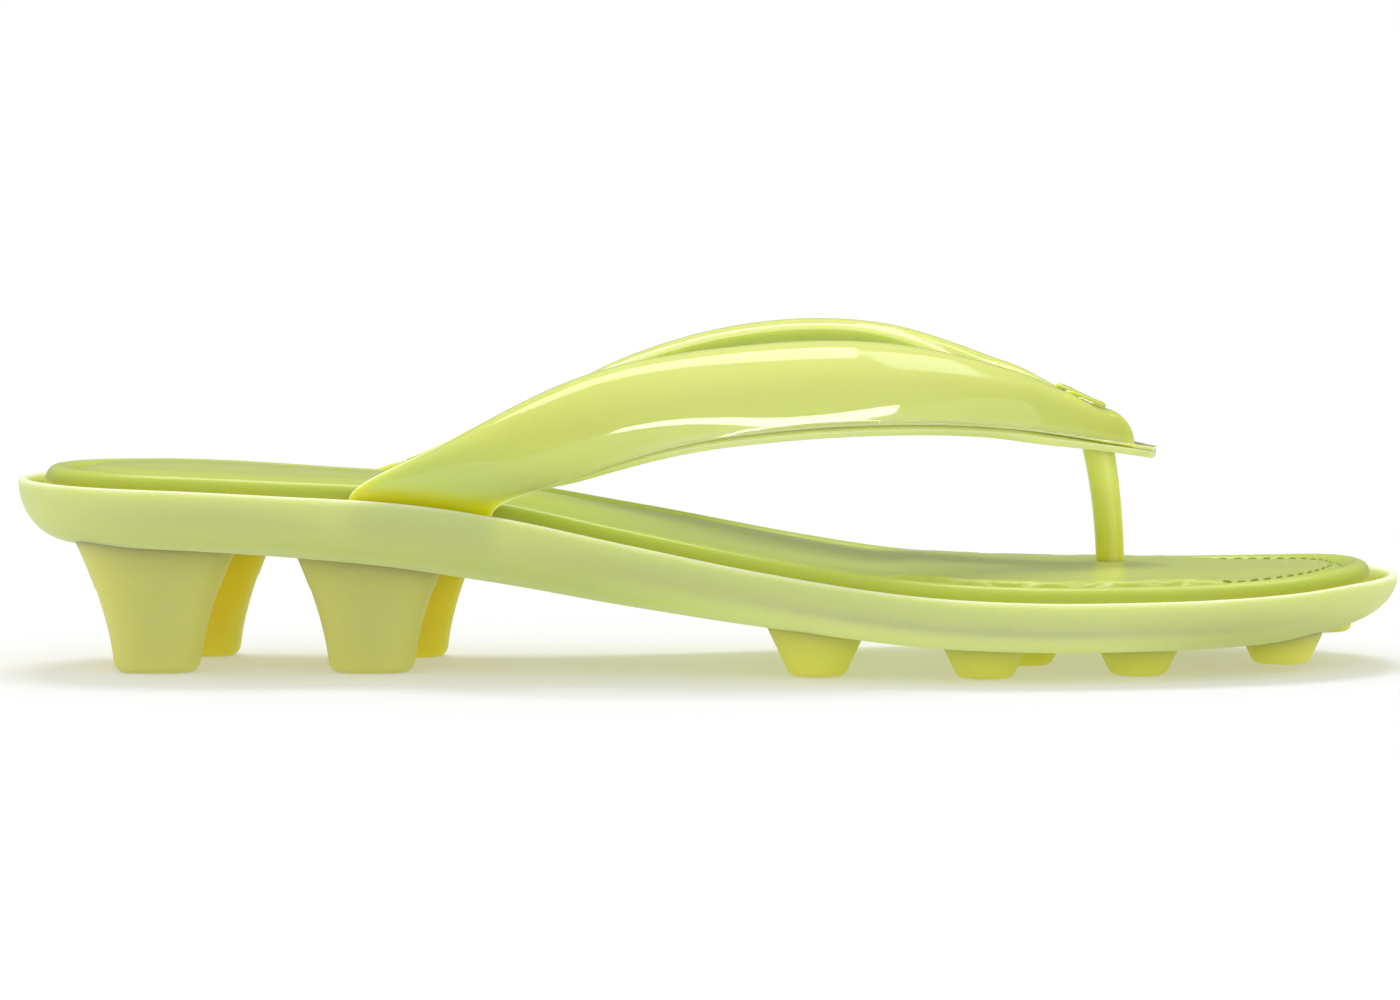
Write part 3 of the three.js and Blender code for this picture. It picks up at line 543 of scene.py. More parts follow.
# ---- Insole board and shank ----
# A cellulose fibre board that stiffens the footbed, cut to the sole's shape and bonded to the tray's
# floor. It bends with the sole. Under it a strip of spring steel keeps the heel and the waist straight.

board_thickness, cover_thickness = 1.5, 0.7
pad_side_inset, pad_end_inset = 3.3, 4.8
pad_edge_inset = curve_through([
    (0, pad_end_inset), (0.1, pad_side_inset), (0.2, pad_side_inset + 0.2), (0.25, pad_end_inset + 0.1),
    (0.35, pad_end_inset + 0.1), (0.42, pad_side_inset), (0.9, pad_side_inset), (1, pad_end_inset)])
pad_edge = pad_edge_inset(outline_share)

# Fibre board: pressed wood fibre, dull, tan and finely speckled.
fibre_board = new_material("pressed_fibre_board")
fibre_noise = node(fibre_board, "TexNoise", {
    "Vector": object_place(fibre_board), "Scale": 900.0, "Detail": 4.0})
fibre_colour = node(fibre_board, "ValToRGB", {"Fac": fibre_noise.outputs["Fac"]}, stops=[
    (0.35, "#a88b5c"), (0.65, "#c4a878")])
finish(fibre_board, {"Base Color": fibre_colour.outputs["Color"], "Roughness": 0.85})

board_inset = pad_edge + cover_thickness + fit_gap
board_rings = [
    sole_ring(board_inset, lambda share, across: floor_level(share) + fit_gap),
    sole_ring(board_inset, lambda share, across: floor_level(share) + fit_gap + board_thickness)]
board = ring_piece("insole_board_sheet", board_rings, fibre_board)
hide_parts("insole_board")
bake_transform(board)

# Spring steel strip: cold rolled, so it has fine lines along its length.
rolled_steel = new_material("rolled_spring_steel")
rolled_map = node(rolled_steel, "Mapping", {
    "Vector": object_place(rolled_steel), "Scale": (20.0, 2500.0, 2500.0)})
rolled_lines = node(rolled_steel, "TexNoise", {"Vector": rolled_map.outputs["Vector"], "Scale": 1.0})
rolled_rough = node(rolled_steel, "MapRange", {
    "Value": rolled_lines.outputs["Fac"], "To Min": 0.25, "To Max": 0.5})
finish(rolled_steel, {
    "Base Color": linear("#9a9ea1"), "Metallic": 1.0, "Roughness": rolled_rough.outputs["Result"]})
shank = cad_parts["shank"]
shank.data.materials.clear()
shank.data.materials.append(rolled_steel)

# ---- Footbed foam ----
# Moulded EVA foam under the cover: it carries the foot, and shapes the edge roll and the raised middle.

arch_rise = 1.7
arch_swell = curve_through([(0, 0), (0.28, 0), (0.38, 0.75), (0.48, 1), (0.57, 0.55), (0.66, 0), (1, 0)])


def arch_lift(share, across):
    """The arch support: arch_rise times a swell along the sole, rising towards the medial edge."""
    return arch_rise * arch_swell(share) * smoothstep(across, -0.2, 0.75)


# EVA foam: closed cells, matt, cream.
eva_foam = new_material("moulded_eva_foam")
eva_cells = node(eva_foam, "TexVoronoi", {"Vector": object_place(eva_foam), "Scale": 1400.0})
eva_colour = node(eva_foam, "ValToRGB", {"Fac": eva_cells.outputs["Distance"]}, stops=[
    (0.0, "#d8cf96"), (0.6, "#efe9b8")])
finish(eva_foam, {"Base Color": eva_colour.outputs["Color"], "Roughness": 0.9})

foam_sink = cover_thickness + fit_gap + 0.35
foam_bottom = tray_recess - 2 * fit_gap - board_thickness
foam_profile = [(0.0, -foam_bottom), (0.0, -1.0 - foam_sink), (0.6, 0.4 - foam_sink), (1.6, 1.5 - foam_sink),
                (3.0, 1.9 - foam_sink), (5.2, 1.1 - foam_sink), (9.0, 1.9 - foam_sink)]
foam_rings = [sole_ring(pad_edge + foam_sink + distance, lambda share, across: rim_level(share) + height + (
    arch_lift(share, across) if height > -2 else 0)) for distance, height in foam_profile]
foam_rings += [sole_ring(pad_edge + foam_sink + 9, lambda share, across: (
    rim_level(share) + 2.3 - foam_sink + arch_lift(share, across)), pull) for pull in (0.35, 0.7)]
foam = ring_piece("footbed_foam_pad", foam_rings, eva_foam)
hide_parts("footbed_foam")
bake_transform(foam)

# ---- Footbed cover ----
# Coated synthetic leather, lasted round the board and heat-moulded over the foam: a puffy roll along the
# edge, a sewn channel inside it, and a raised middle with a scalloped border at the ball and a pillow
# under the heel.

roll_profile = curve_through([
    (0, -1.2), (0.25, 0.2), (0.8, 1.45), (1.8, 2.35), (2.9, 2.55), (4.0, 2.1), (4.8, 1.45), (5.3, 1.2),
    (5.9, 1.45), (7.0, 1.95), (9.0, 2.3)])
channel_at = 5.3  # distance from the pad's edge to the sewn channel
hem_drop = foam_bottom - fit_gap
crown_height = 3.0
ring_reach = 9.0  # how far in the rings of the cover's mesh go


def cover_point_height(share, across, distance):
    """Height of the cover over the rim, at a distance in from its edge: the roll and channel near the
    edge, then a crown that rises to the middle, plus the arch support."""
    edge = roll_profile(np.clip(distance, 0, ring_reach))
    crown = (crown_height - 2.3) * smoothstep(distance, ring_reach, 24.0)
    return edge + crown + arch_lift(share, across)


scallop_pitch = 15.0


def cover_detail(share, across, distance):
    """Fine relief added to the cover, in millimetres: scallops along the raised middle's border at the
    ball, and the edge of the heel pillow."""
    phase = (share - 0.652) * sole_length / scallop_pitch
    inside = smoothstep(share, 0.61, 0.66) * (1 - smoothstep(share, 0.83, 0.89))
    border = 8.6 - 2.6 * np.abs(np.sin(np.pi * phase))
    scallop = -0.8 * np.exp(-((distance - border) / 0.6) ** 2) * inside
    lobe = 0.9 * smoothstep(distance, border, border + 1.8) * inside
    pillow = 0.5 * smoothstep(distance, 7.5, 12.0) * (1 - smoothstep(share, 0.27, 0.36))
    return scallop + lobe + pillow


def cover_height(share, across, distance):
    """Height of the cover's skin from the floor: the rim's, plus its height over the rim and its fine
    relief."""
    return (rim_level(share) + cover_point_height(share, across, distance)
            + cover_detail(share, across, distance))


def cover_ring(distance):
    """A ring of the cover's skin at a distance in from its edge."""
    return sole_ring(pad_edge + distance, lambda share, across: cover_height(share, across, distance))


# Rings run in to 9 mm, then a grid of cross lines fills the middle.
cover_rings = [sole_ring(pad_edge, lambda share, across: rim_level(share) - hem_drop)]
cover_shade = [np.zeros(len(outline))]
for distance in np.linspace(0, ring_reach, 34):
    ring = cover_ring(distance)
    cover_rings.append(ring)
    cover_shade.append(ring[:, 2] - rim_level(np.clip(ring[:, 0] / sole_length, 0, 1)))
inner_ring = cover_rings[-1]
cross_steps = 40
near = inner_ring[:side_steps + 1, :2]
far = inner_ring[mirror][:side_steps + 1, :2]
part = np.linspace(0, 1, cross_steps + 1)[None, :, None]
middle_grid = near[:, None] * (1 - part) + far[:, None] * part
middle_share = np.clip(middle_grid[..., 0] / sole_length, 0, 1)
middle_across = across_at(middle_grid)
half_width = np.linalg.norm(far - near, axis=1)[:, None] / 2
end_fall = np.minimum(middle_grid[..., 0] - near[0, 0], near[-1, 0] - middle_grid[..., 0])
middle_distance = ring_reach + np.minimum(half_width * (1 - np.abs(2 * part[..., 0] - 1)), end_fall)
middle_height = cover_height(middle_share, middle_across, middle_distance)
middle_points = np.concatenate([middle_grid, middle_height[..., None]], axis=2)

cover_points = np.concatenate(cover_rings + [middle_points.reshape(-1, 3)])
ring_total = len(cover_rings) * len(outline)
row, column = np.meshgrid(np.arange(side_steps), np.arange(cross_steps), indexing="ij")
corner = ring_total + row * (cross_steps + 1) + column
middle_faces = np.stack([corner, corner + cross_steps + 1, corner + cross_steps + 2, corner + 1], axis=-1)
cover_faces = (ring_faces(len(cover_rings), len(outline), closed=False)
               + middle_faces.reshape(-1, 4).tolist())
cover_relief = np.concatenate(
    [np.concatenate(cover_shade), (middle_height - rim_level(middle_share)).ravel()])


def weld(piece, distance=0.00002):
    """Merges points that meet, and drops the faces that this closes up."""
    work = bmesh.new()
    work.from_mesh(piece.data)
    bmesh.ops.remove_doubles(work, verts=work.verts, dist=distance)
    bmesh.ops.dissolve_degenerate(work, edges=work.edges, dist=distance / 10)
    work.to_mesh(piece.data)
    work.free()


# Coated synthetic leather: a satin polyurethane skin with a grain printed 0.7 mm wide. Its colour by relief
# paints light: the valleys, which see less of the room and more of each other, get a deeper green painted
# shade, and the hem down in the gap by the tray's wall a painted yellow glow.
coated_leather = new_material("coated_synthetic_leather")
coated_relief = node(coated_leather, "Attribute", attribute_name="relief")
coated_colour = node(coated_leather, "ValToRGB", {"Fac": coated_relief.outputs["Fac"]}, stops=[
    (0.0, "#d2cb1e"), (0.22, "#bac73e"), (0.45, "#b8c748"), (0.7, "#bdcc54"),
    (1.0, "#becb5c")])
coated_grain = node(coated_leather, "TexVoronoi", {
    "Vector": object_place(coated_leather), "Scale": 1500.0}, feature="F1")
coated_bump = node(coated_leather, "Bump", {
    "Height": coated_grain.outputs["Distance"], "Strength": 0.12, "Distance": 0.0001})
finish(coated_leather, {
    "Base Color": coated_colour.outputs["Color"], "Roughness": 0.27, "IOR": 1.5, "Specular IOR Level": 0.55,
    "Sheen Weight": 0.1, "Sheen Roughness": 0.4, "Normal": coated_bump.outputs["Normal"],
    "Subsurface Weight": 0.5, "Subsurface Scale": 0.002, "Subsurface Radius": light_run})

cover = new_piece("footbed_cover_skin", cover_points, cover_faces, coated_leather, 80.0)
paint(cover, "relief", smoothstep(cover_relief, -1.0, 3.6) * 0.999)
weld(cover)
cover_wall = cover.modifiers.new("thickness", "SOLIDIFY")
cover_wall.thickness = 0.0006
cover_wall.offset = -1.0
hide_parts("footbed_cover")
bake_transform(cover)

# ---- Footbed stitching ----
# Lock stitches in bonded polyester thread, sunk in the channel all round, with a second row at the toe.

stitch_length, stitch_gap, thread_radius = 1.9, 1.1, 0.19


def stitch_row(path, lift):
    """Capsules laid along a path: each spans stitch_length of it and is followed by stitch_gap. Across, a
    capsule is a circle whose radius falls to nothing at both ends as the root of 1 - t^4."""
    steps = np.linalg.norm(np.diff(path, axis=0), axis=1)
    run = np.concatenate([[0], np.cumsum(steps)])
    count = int(run[-1] // (stitch_length + stitch_gap))
    start = np.arange(count) * run[-1] / count
    t = np.linspace(-1, 1, 7)
    along = start[:, None] + (t[None] + 1) / 2 * stitch_length
    spine = np.stack([np.interp(along, run, path[:, k]) for k in range(3)], axis=-1)
    spine[..., 2] += lift + 0.12 * (1 - t**2)[None]
    tangent = np.gradient(spine, axis=1)
    tangent /= np.linalg.norm(tangent, axis=2, keepdims=True)
    side = np.cross(tangent, (0.0, 0.0, 1.0))
    side /= np.linalg.norm(side, axis=2, keepdims=True)
    up = np.cross(side, tangent)
    angle = np.linspace(0, 2 * np.pi, 6, endpoint=False)
    radius = thread_radius * np.sqrt(np.clip(1 - t**4, 0.05, 1))[None, :, None, None]
    ring = (np.cos(angle)[None, None, :, None] * side[:, :, None] + np.sin(angle)[None, None, :, None]
            * up[:, :, None])
    points = (spine[:, :, None] + radius * ring).reshape(count, -1, 3)
    faces = np.array(ring_faces(len(t), len(angle), closed=False))
    caps = np.array([np.arange(6)[::-1], np.arange(6) + 6 * (len(t) - 1)])
    offset = (np.arange(count) * points.shape[1])[:, None, None]
    return (points.reshape(-1, 3), (faces[None] + offset).reshape(-1, 4).tolist()
            + (caps[None] + offset).reshape(-1, 6).tolist())


def cover_path(distance, low, high):
    """The cover's skin along a ring at that distance from its edge, between two shares."""
    ring = cover_ring(distance)
    ring = np.concatenate([ring, ring[:1]])
    if low <= 0 and high >= 1:
        return ring
    keep = (ring[:, 0] >= low * sole_length) & (ring[:, 0] <= high * sole_length)
    return ring[keep]


# Bonded polyester thread: three plies twisted and waxed, a little darker and duller than the cover. The
# twist is drawn 1 mm long, coarser than it is.
bonded_thread = new_material("bonded_polyester_thread")
thread_twist = node(bonded_thread, "TexWave", {
    "Vector": object_place(bonded_thread), "Scale": 900.0, "Distortion": 1.0})
thread_colour = node(bonded_thread, "ValToRGB", {"Fac": thread_twist.outputs["Fac"]}, stops=[
    (0.0, "#98a446"), (1.0, "#bcc668")])
finish(bonded_thread, {"Base Color": thread_colour.outputs["Color"], "Roughness": 0.55})

edge_points, edge_faces = stitch_row(cover_path(channel_at, 0, 1), 0.1)
edge_stitches = new_piece("edge_stitching", edge_points, edge_faces, bonded_thread)
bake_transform(edge_stitches)
toe_points, toe_faces = stitch_row(cover_path(channel_at + 2.4, 0.86, 1), 0.1)
toe_stitches = new_piece("toe_stitching", toe_points, toe_faces, bonded_thread)
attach(toe_stitches, "forefoot")

# ---- Strap ----
# One glossy moulding in soft PVC: two hollow domed branches that rise out of the tray on both sides, meet
# at the fork and run on to the toe as one vamp, with a thin flange along its outer edge. It bends when
# the sole does.

strap_height, strap_wall, strap_edge, strap_dome = 65.6, 1.6, 0.8, 6.2
outer_flatness, inner_flatness, inner_side = 2.4, 2.6, 1.9
root_rear, root_front, root_inset, root_lift, strap_lift = 0.246, 0.347, 3.7, 1.2, 8.0
fork_row, last_row, front_start, front_end = 7.0, 9.0, 8.0, 8.58
branch_rows = {
    -1: {"outer": [(0.402, -0.71, 0.56), (0.48, -0.755, 0.652), (0.558, -0.71, 0.692), (0.636, -0.54, 0.7),
                   (0.7, -0.27, 0.682), (0.75, -0.09, 0.652), (0.79, 0.02, 0.628), (0.822, 0.12, 0.606)],
         "inner": [(0.31, -0.585, 0.652), (0.408, -0.47, 0.826), (0.52, -0.33, 0.896), (0.615, -0.18, 0.9),
                   (0.69, 0.01, 0.83)]},
    1: {"outer": [(0.43, 0.69, 0.57), (0.497, 0.755, 0.67), (0.57, 0.735, 0.715), (0.644, 0.62, 0.715),
                  (0.706, 0.5, 0.685), (0.752, 0.4, 0.652), (0.79, 0.345, 0.63), (0.822, 0.28, 0.606)],
        "inner": [(0.332, 0.565, 0.62), (0.422, 0.5, 0.822), (0.522, 0.43, 0.94), (0.618, 0.36, 0.95),
                  (0.69, 0.27, 0.848)]},
}
fork_point = (0.736, 0.145, 0.728)
ridge_rows = [fork_point, (0.784, 0.18, 0.632), (0.8255, 0.2, 0.606)]
dome_rows = curve_through([(0, 0.02), (1, 0.06), (2, 0.68), (3, 0.92), (4, 1), (5, 1), (6, 1), (7, 0.96),
                           (8, 0.9), (9, 0.9)])
flange_rows = curve_through([(0, 0.3), (2, 0.5), (5, 0.7), (7, 1.1), (8, 1.6), (9, 1.8)])


def strap_place(row):
    """A (share, part of half the ball's width, part of the strap's height) row as a point."""
    share, across, level = row
    return [share * sole_length, across * ball_width / 2,
            max(level * strap_height, rim_level(share) + strap_lift)]


def root_rows_at(share, side):
    """The root's two points, at the tray's floor and over its rim."""
    y = edge_at(share, side) - side * root_inset
    return [[share * sole_length, y, floor_level(share) + fit_gap + root_lift],
            [share * sole_length, y, rim_level(share) + 1]]


def smooth_path(points):
    """A centripetal Catmull-Rom curve: between two points a cubic, with knots spaced by the root of the
    distance."""
    points = np.array(points, float)
    wide = np.concatenate([[2 * points[0] - points[1]], points, [2 * points[-1] - points[-2]]])

    def at(place):
        span = np.clip(place, 0, 1) * (len(points) - 1)
        k = np.minimum(span.astype(int), len(points) - 2)
        t = (span - k)[:, None]
        p0, p1, p2, p3 = (wide[k + step] for step in range(4))
        d0, d1, d2 = (np.sqrt(np.linalg.norm(b - a, axis=1))[:, None]
                      for a, b in ((p0, p1), (p1, p2), (p2, p3)))
        m1 = ((p1 - p0) / d0 - (p2 - p0) / (d0 + d1) + (p2 - p1) / d1) * d1
        m2 = ((p2 - p1) / d1 - (p3 - p1) / (d1 + d2) + (p3 - p2) / d2) * d1
        return (p1 * (2 * t**3 - 3 * t**2 + 1) + m1 * (t**3 - 2 * t**2 + t)
                + p2 * (3 * t**2 - 2 * t**3) + m2 * (t**3 - t**2))
    return at


ridge_path = smooth_path([strap_place(row) for row in ridge_rows])
outer_paths = {
    side: smooth_path(root_rows_at(root_front, side) + [strap_place(row) for row in rows["outer"]])
    for side, rows in branch_rows.items()}
inner_paths = {
    side: smooth_path(root_rows_at(root_rear, side)
                      + [strap_place(row) for row in [*rows["inner"], fork_point]])
    for side, rows in branch_rows.items()}


def unit(vectors):
    """Vectors divided by their lengths."""
    return vectors / np.linalg.norm(vectors, axis=-1, keepdims=True)


def branch_edges(side, rows):
    """The outer edge and the inner edge of a branch; past the fork the inner edge is the vamp's ridge."""
    on_ridge = ridge_path(np.clip((rows - fork_row) / (last_row - fork_row), 0, 1))
    on_branch = inner_paths[side](np.clip(rows / fork_row, 0, 1))
    inner = np.where((rows < fork_row)[:, None], on_branch, on_ridge)
    return outer_paths[side](rows / last_row), inner


def branch_normals(side, rows):
    """Across the branch crossed with along it, turned up; past the fork both branches take the ridge's
    normal."""
    reach = 0.12
    outer, inner = branch_edges(side, rows)
    ahead = sum(branch_edges(side, np.minimum(last_row, rows + reach))) / 2
    behind = sum(branch_edges(side, np.maximum(0, rows - reach))) / 2
    own = unit(np.cross(ahead - behind, inner - outer) * -side)
    ridge_place = np.clip((np.maximum(rows, fork_row) - fork_row) / (last_row - fork_row), 0, 1)
    ridge_run = ridge_path(np.minimum(1, ridge_place + 0.01)) - ridge_path(np.maximum(0, ridge_place - 0.01))
    ridge_up = unit(np.stack([-ridge_run[:, 2], np.zeros(len(rows)), ridge_run[:, 0]], axis=1))
    share_ridge = smoothstep(rows, fork_row - 1, fork_row)[:, None]
    return unit(own * (1 - share_ridge) + ridge_up * share_ridge)


def dome_height(side, rows, u):
    """Height of the dome over the branch's flat, at u across from the outer edge (0) to the inner (1).
    Across, the dome is 1 - |2u-1|^2.4 on a branch's outer half and (1 - |2u-1|^2.6)^(1/1.9) on its inner
    one, and over the vamp it is the outer half of that. The flange is left flat."""
    outer, inner = branch_edges(side, rows)
    width = np.linalg.norm(inner - outer, axis=1)[:, None]
    flange = flange_rows(rows)[:, None]
    fade = smoothstep(rows, fork_row, fork_row + 1)[:, None]
    inner_flange = flange * (1 - fade)
    v = np.clip((u * width - flange) / np.maximum(width - flange - inner_flange, 0.5), 0, 1)
    off_middle = np.abs(2 * v - 1)
    arch = np.where(v < 0.5, 1 - off_middle**outer_flatness,
                    (1 - off_middle**inner_flatness) ** (1 / inner_side))
    half_arch = 1 - (1 - v) ** outer_flatness
    front = np.clip((rows - front_start) / (front_end - front_start), 0, 1)
    fall = np.sqrt(1 - front**2)
    return strap_dome * (dome_rows(rows) * fall)[:, None] * ((1 - fade) * arch + fade * half_arch)


def strap_grid(side, rows, u, height, inset):
    """Points over a branch: height along its normal, with its edges drawn in by inset."""
    outer, inner = branch_edges(side, rows)
    across = unit(inner - outer)
    inner_inset = inset * (1 - np.clip(rows - fork_row + 1, 0, 1))[:, None]
    low = outer + across * inset
    high = inner - across * inner_inset
    points = low[:, None] * (1 - u[..., None]) + high[:, None] * u[..., None]
    return points + branch_normals(side, rows)[:, None] * height[..., None]


def strap_shape(rows, columns, upper, lower):
    """Both branches as a closed Y-shaped body between an upper and a lower skin, and a number along the
    strap per point. upper and lower give (height, inset) for a side, the rows and the places across."""
    points, faces, along = [], [], []
    total = 0
    u_line = (1 - np.cos(np.pi * np.arange(columns + 1) / columns)) / 2
    u = np.repeat(u_line[None], len(rows), axis=0)
    row, column = np.meshgrid(np.arange(len(rows) - 1), np.arange(columns), indexing="ij")
    a = row * (columns + 1) + column
    top_faces = np.stack([a, a + columns + 1, a + columns + 2, a + 1], axis=-1).reshape(-1, 4)
    skin_size = len(rows) * (columns + 1)
    under_faces = top_faces[:, ::-1] + skin_size
    i = np.arange(len(rows) - 1) * (columns + 1)
    outer_wall = np.stack([i + skin_size, i + columns + 1 + skin_size, i + columns + 1, i], axis=-1)
    k = i[rows[:-1] < fork_row - 1e-6] + columns
    inner_wall = np.stack([k, k + columns + 1, k + columns + 1 + skin_size, k + skin_size], axis=-1)
    j = np.arange(columns)
    root_wall = np.stack([j + skin_size, j, j + 1, j + 1 + skin_size], axis=-1)
    end = (len(rows) - 1) * (columns + 1)
    tip_wall = np.stack([end + j, end + j + skin_size, end + j + 1 + skin_size, end + j + 1], axis=-1)
    every = np.concatenate([top_faces, under_faces, outer_wall, inner_wall, root_wall, tip_wall])
    for side in (-1, 1):
        for skin in (upper, lower):
            height, inset = skin(side, rows, u)
            points.append(strap_grid(side, rows, u, height, inset).reshape(-1, 3))
            along.append(np.repeat(rows, columns + 1))
        faces.append((every if side < 0 else every[:, ::-1]) + total)
        total += 2 * skin_size
    return np.concatenate(points), np.concatenate(faces).tolist(), np.concatenate(along)


def shell_upper(side, rows, u):
    """The dome."""
    return strap_edge + dome_height(side, rows, u), np.zeros((len(rows), 1))


def shell_lower(side, rows, u):
    """The hollow under the dome, a wall's thickness inside it, which closes before the toe end."""
    hollow = 1 - smoothstep(rows, front_end - 0.2, front_end)[:, None]
    height = np.maximum(0, dome_height(side, rows, u) + strap_edge - strap_wall) * hollow
    return height, strap_wall * hollow


def strap_shade(points, along):
    """0 at the strap's foot in the tray, 0.3 over the rim, 0.7 along the branches and 1 at the toe end."""
    share = np.clip(points[:, 0] / sole_length, 0, 1)
    clear = points[:, 2] - rim_level(share)
    return 0.3 * smoothstep(clear, -0.5, 4.5) + 0.4 * smoothstep(clear, 5.0, 16.0) + 0.3 * smoothstep(
        along, 6.3, 8.8)


def painted_edge_glow(points, along):
    """How much pale painted glow the strap gets, as a painted highlight and to lift the shade of the crease
    along its foot: 0.75 at its outer edge, where only the flange's thickness stands, and from 4 mm inside it
    0.12, or up to 0.32 along the middle of a branch. It starts above the tray."""
    edge = np.concatenate([outer_paths[side](np.linspace(0.15, 1, 600)) for side in (-1, 1)])
    gap = np.concatenate([np.sqrt(((block[:, None] - edge[None]) ** 2).sum(axis=2)).min(axis=1)
                          for block in np.array_split(points, 40)])
    middle = 0.12 + 0.2 * (smoothstep(along, 2.0, 3.5) - smoothstep(along, 5.0, 6.8))
    return np.maximum(0.75 * (1 - smoothstep(gap, 0.6, 4.0)), middle) * smoothstep(along, 1.8, 3.2)


shell_rows = np.unique(np.concatenate([
    np.linspace(0, 6, 100), np.linspace(6, 8, 60), np.linspace(8, front_end, 40), [fork_row],
    np.linspace(front_end, last_row, 8)]))
# The shade stops paint a yellow glow at the strap's foot down in the tray. Above it the colour runs from olive
# over the rim to lime along the branches, and a deeper green at the toe end.
glossy_pvc = soft_pvc("glossy_moulded_pvc", [
    (0.0, "#cfcb1e"), (0.12, "#c6c93a"), (0.3, "#c2d072"), (0.7, "#d2de74"), (1.0, "#c0cb55")],
    roughness=0.07, depth=0.004, gloss=0.5, glow_tint="#eaf49c")
shell_points, shell_faces, shell_along = strap_shape(shell_rows, 44, shell_upper, shell_lower)
shell = new_piece("strap_shell_moulding", shell_points, shell_faces, glossy_pvc, 42.0)
paint(shell, "shade", strap_shade(shell_points, shell_along))
paint(shell, "painted_glow", painted_edge_glow(shell_points, shell_along))
weld(shell)
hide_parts("strap_shell")
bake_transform(shell)

# ---- Strap liner ----
# A flat layer of the same PVC welded under the shell's flange: it closes the hollow branches, and its
# edge shows as the second layer of the lip.

liner_thickness, liner_overhang = 1.0, 0.6
liner_rows = np.unique(np.concatenate([np.linspace(1.7, 9, 120), [fork_row]]))
# As on the shell, the shade stops paint a yellow glow at the foot down in the tray, and the edge gets a pale
# painted glow.
satin_pvc = soft_pvc("satin_calendered_pvc", [
    (0.0, "#cfcb1e"), (0.12, "#c6c93a"), (0.3, "#c2cf70"), (0.7, "#cddb78"), (1.0, "#b9c456")],
    roughness=0.3, depth=0.003, gloss=0.25, glow_tint="#e6edb0")


def liner_skin(level):
    """A flat skin at a level under the shell's flange, out past its edge by the overhang."""
    return lambda side, rows, u: (np.full(u.shape, level), np.full((len(rows), 1), -liner_overhang))


liner_points, liner_faces, liner_along = strap_shape(
    liner_rows, 16, liner_skin(-0.02), liner_skin(-fit_gap - liner_thickness))
liner = new_piece("strap_liner_sheet", liner_points, liner_faces, satin_pvc, 42.0)
paint(liner, "shade", strap_shade(liner_points, liner_along))
paint(liner, "painted_glow", painted_edge_glow(liner_points, liner_along))
weld(liner)
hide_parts("strap_liner")
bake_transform(liner)

# ---- Boss on the vamp ----
# A small plain raised plate bonded on the ridge of the vamp.

boss_share, boss_across, boss_length, boss_width, boss_height = 0.769, 0.172, 10.0, 7.5, 0.7
boss_seat = 0.35
boss_centre = np.array([boss_share * sole_length, boss_across * ball_width / 2])


def vamp_top(points):
    """Height of the shell's upper skin over (x, y), from the nearest of its own points."""
    skin = np.concatenate([strap_grid(side, rows, u, *shell_upper(side, rows, u)).reshape(-1, 3)
                           for side, rows, u in vamp_samples])
    gaps = ((points[:, None, :2] - skin[None, :, :2]) ** 2).sum(axis=2)
    close = np.argpartition(gaps, 3, axis=1)[:, :3]
    weight = 1 / (np.take_along_axis(gaps, close, axis=1) + 1e-4)
    return (skin[close, 2] * weight).sum(axis=1) / weight.sum(axis=1)


sample_rows = np.linspace(6.4, front_end, 120)
sample_u = np.repeat(np.linspace(0.3, 1, 60)[None], 120, axis=0)
vamp_samples = [(side, sample_rows, sample_u) for side in (-1, 1)]
boss_bend = superellipse(48, 2.0) * np.array([[boss_length], [boss_width]])
boss_rings = []
for part_out, lift in [(1.0, boss_seat - 0.3), (1.0, boss_seat + boss_height - 0.3),
                       (0.97, boss_seat + boss_height - 0.1), (0.9, boss_seat + boss_height),
                       (0.7, boss_seat + boss_height), (0.4, boss_seat + boss_height)]:
    flat = boss_centre + part_out / 2 * boss_bend.T
    boss_rings.append(np.column_stack([flat, vamp_top(flat) + lift]))
boss = ring_piece("vamp_boss_plate", boss_rings, glossy_pvc, 60.0)
paint(boss, "shade", np.full(len(boss.data.vertices), 0.95))
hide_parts("vamp_boss")
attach(boss, "forefoot")

# ---- Toe post ----
# A flexible PVC post between the great toe and the next, held by a disc under the footbed and plugged
# into the strap. It leans back as it rises. Its colour is painted from a deep yellow glow at its foot,
# where it enters the footbed, to a pale top.

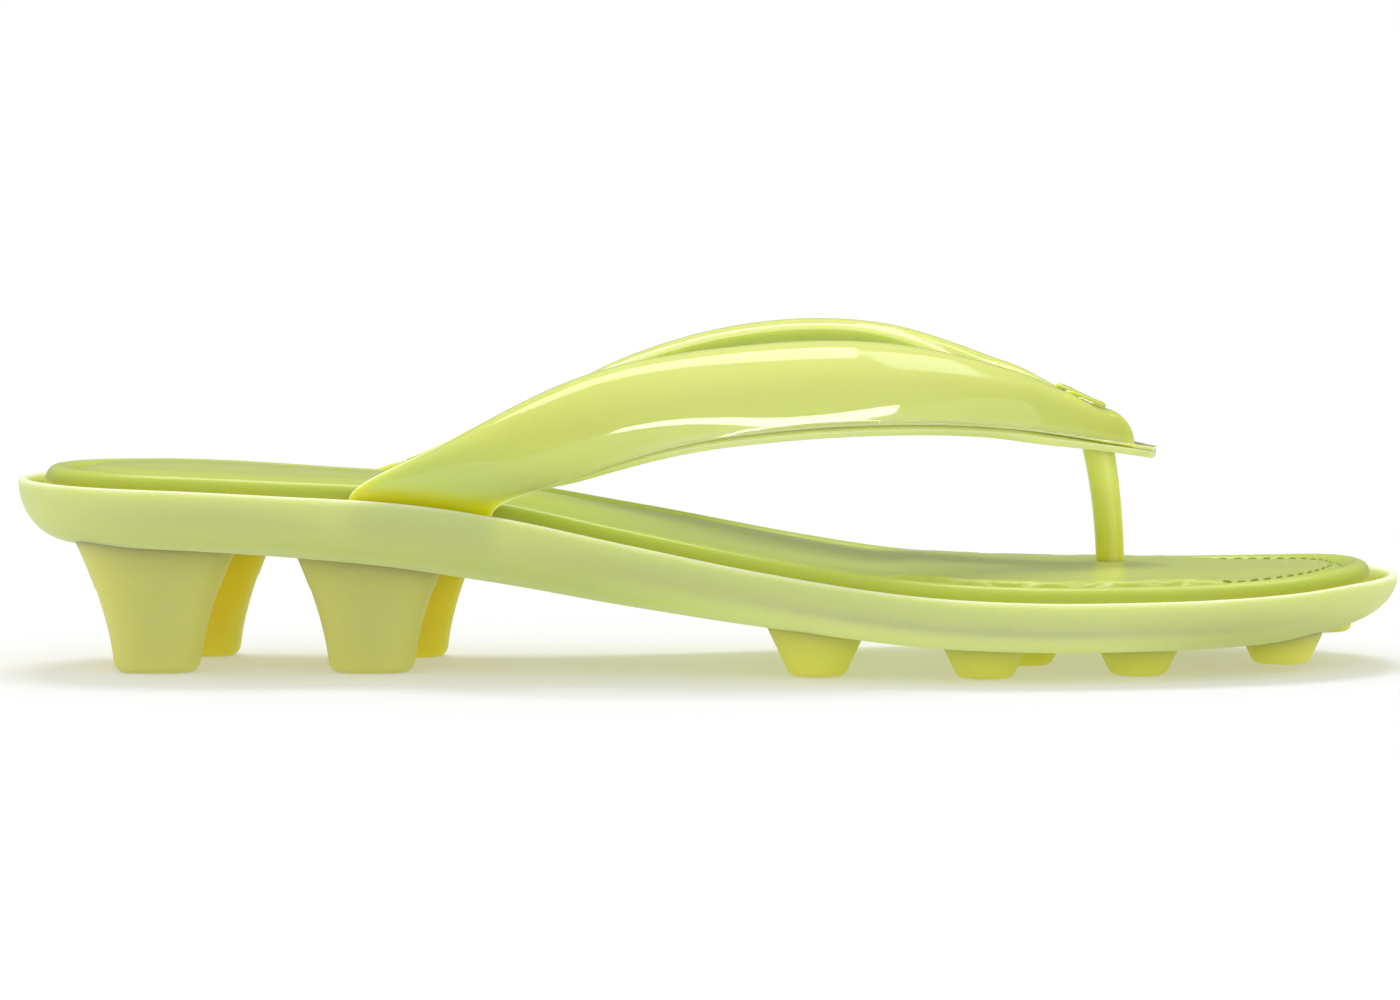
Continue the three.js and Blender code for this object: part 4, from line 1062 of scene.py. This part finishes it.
post_share, post_offset = 0.7925, 8.6
post_length, post_width, post_growth, post_lean = 5.3, 6.2, 1.2, 4.3
post_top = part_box("toe_post")[1][2] * 1000
post_from = floor_level(post_share) + fit_gap
post_full = 0.72 * strap_height
post_growth_power, post_lean_power, post_squareness = 2.4, 2.6, 2.4
post_pvc = soft_pvc("post_moulded_pvc", [
    (0.0, "#d8d83a"), (0.3, "#d2d650"), (0.6, "#d6dc66"), (1.0, "#f2f58e")],
    roughness=0.35, depth=0.004, gloss=0.2)
post_rises = np.linspace(0, (post_top - 0.4 - post_from) / (post_full - post_from), 40)
post_rings = []
post_bend = superellipse(40, post_squareness)
for rise in post_rises:
    growth = post_growth * rise**post_growth_power
    post_middle = post_share * sole_length - post_lean * rise**post_lean_power
    post_rings.append(np.column_stack([
        post_middle + (post_length + growth) / 2 * post_bend[0],
        post_offset + (post_width + growth) / 2 * post_bend[1],
        np.full(post_bend.shape[1], post_from + (post_full - post_from) * rise)]))
post = ring_piece("toe_post_moulding", post_rings, post_pvc)
paint(post, "shade", smoothstep(np.repeat(post_rises, post_bend.shape[1]), 0.05, 0.95))
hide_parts("toe_post")
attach(post, "forefoot")

# ---- Anchors ----
# Lugs and a disc of the yellow PVC, bonded in pockets in the tray's floor. They hold the strap's two ends
# and the toe post, and are hidden under the insole board.

# Rigid PVC: plain moulded yellow with slow clouds 8 mm across.
anchor_pvc = new_material("anchor_moulded_pvc")
anchor_noise = node(anchor_pvc, "TexNoise", {"Vector": object_place(anchor_pvc), "Scale": 120.0})
anchor_colour = node(anchor_pvc, "ValToRGB", {"Fac": anchor_noise.outputs["Fac"]}, stops=[
    (0.3, "#c2be4a"), (0.7, "#cbc85c")])
finish(anchor_pvc, {
    "Base Color": anchor_colour.outputs["Color"], "Roughness": 0.4, "IOR": 1.53,
    "Subsurface Weight": 0.6, "Subsurface Scale": 0.003, "Subsurface Radius": light_run})
for anchor_name in ("strap_anchor_lateral", "strap_anchor_medial", "toe_post_anchor"):
    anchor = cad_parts[anchor_name]
    anchor.data.materials.clear()
    anchor.data.materials.append(anchor_pvc)
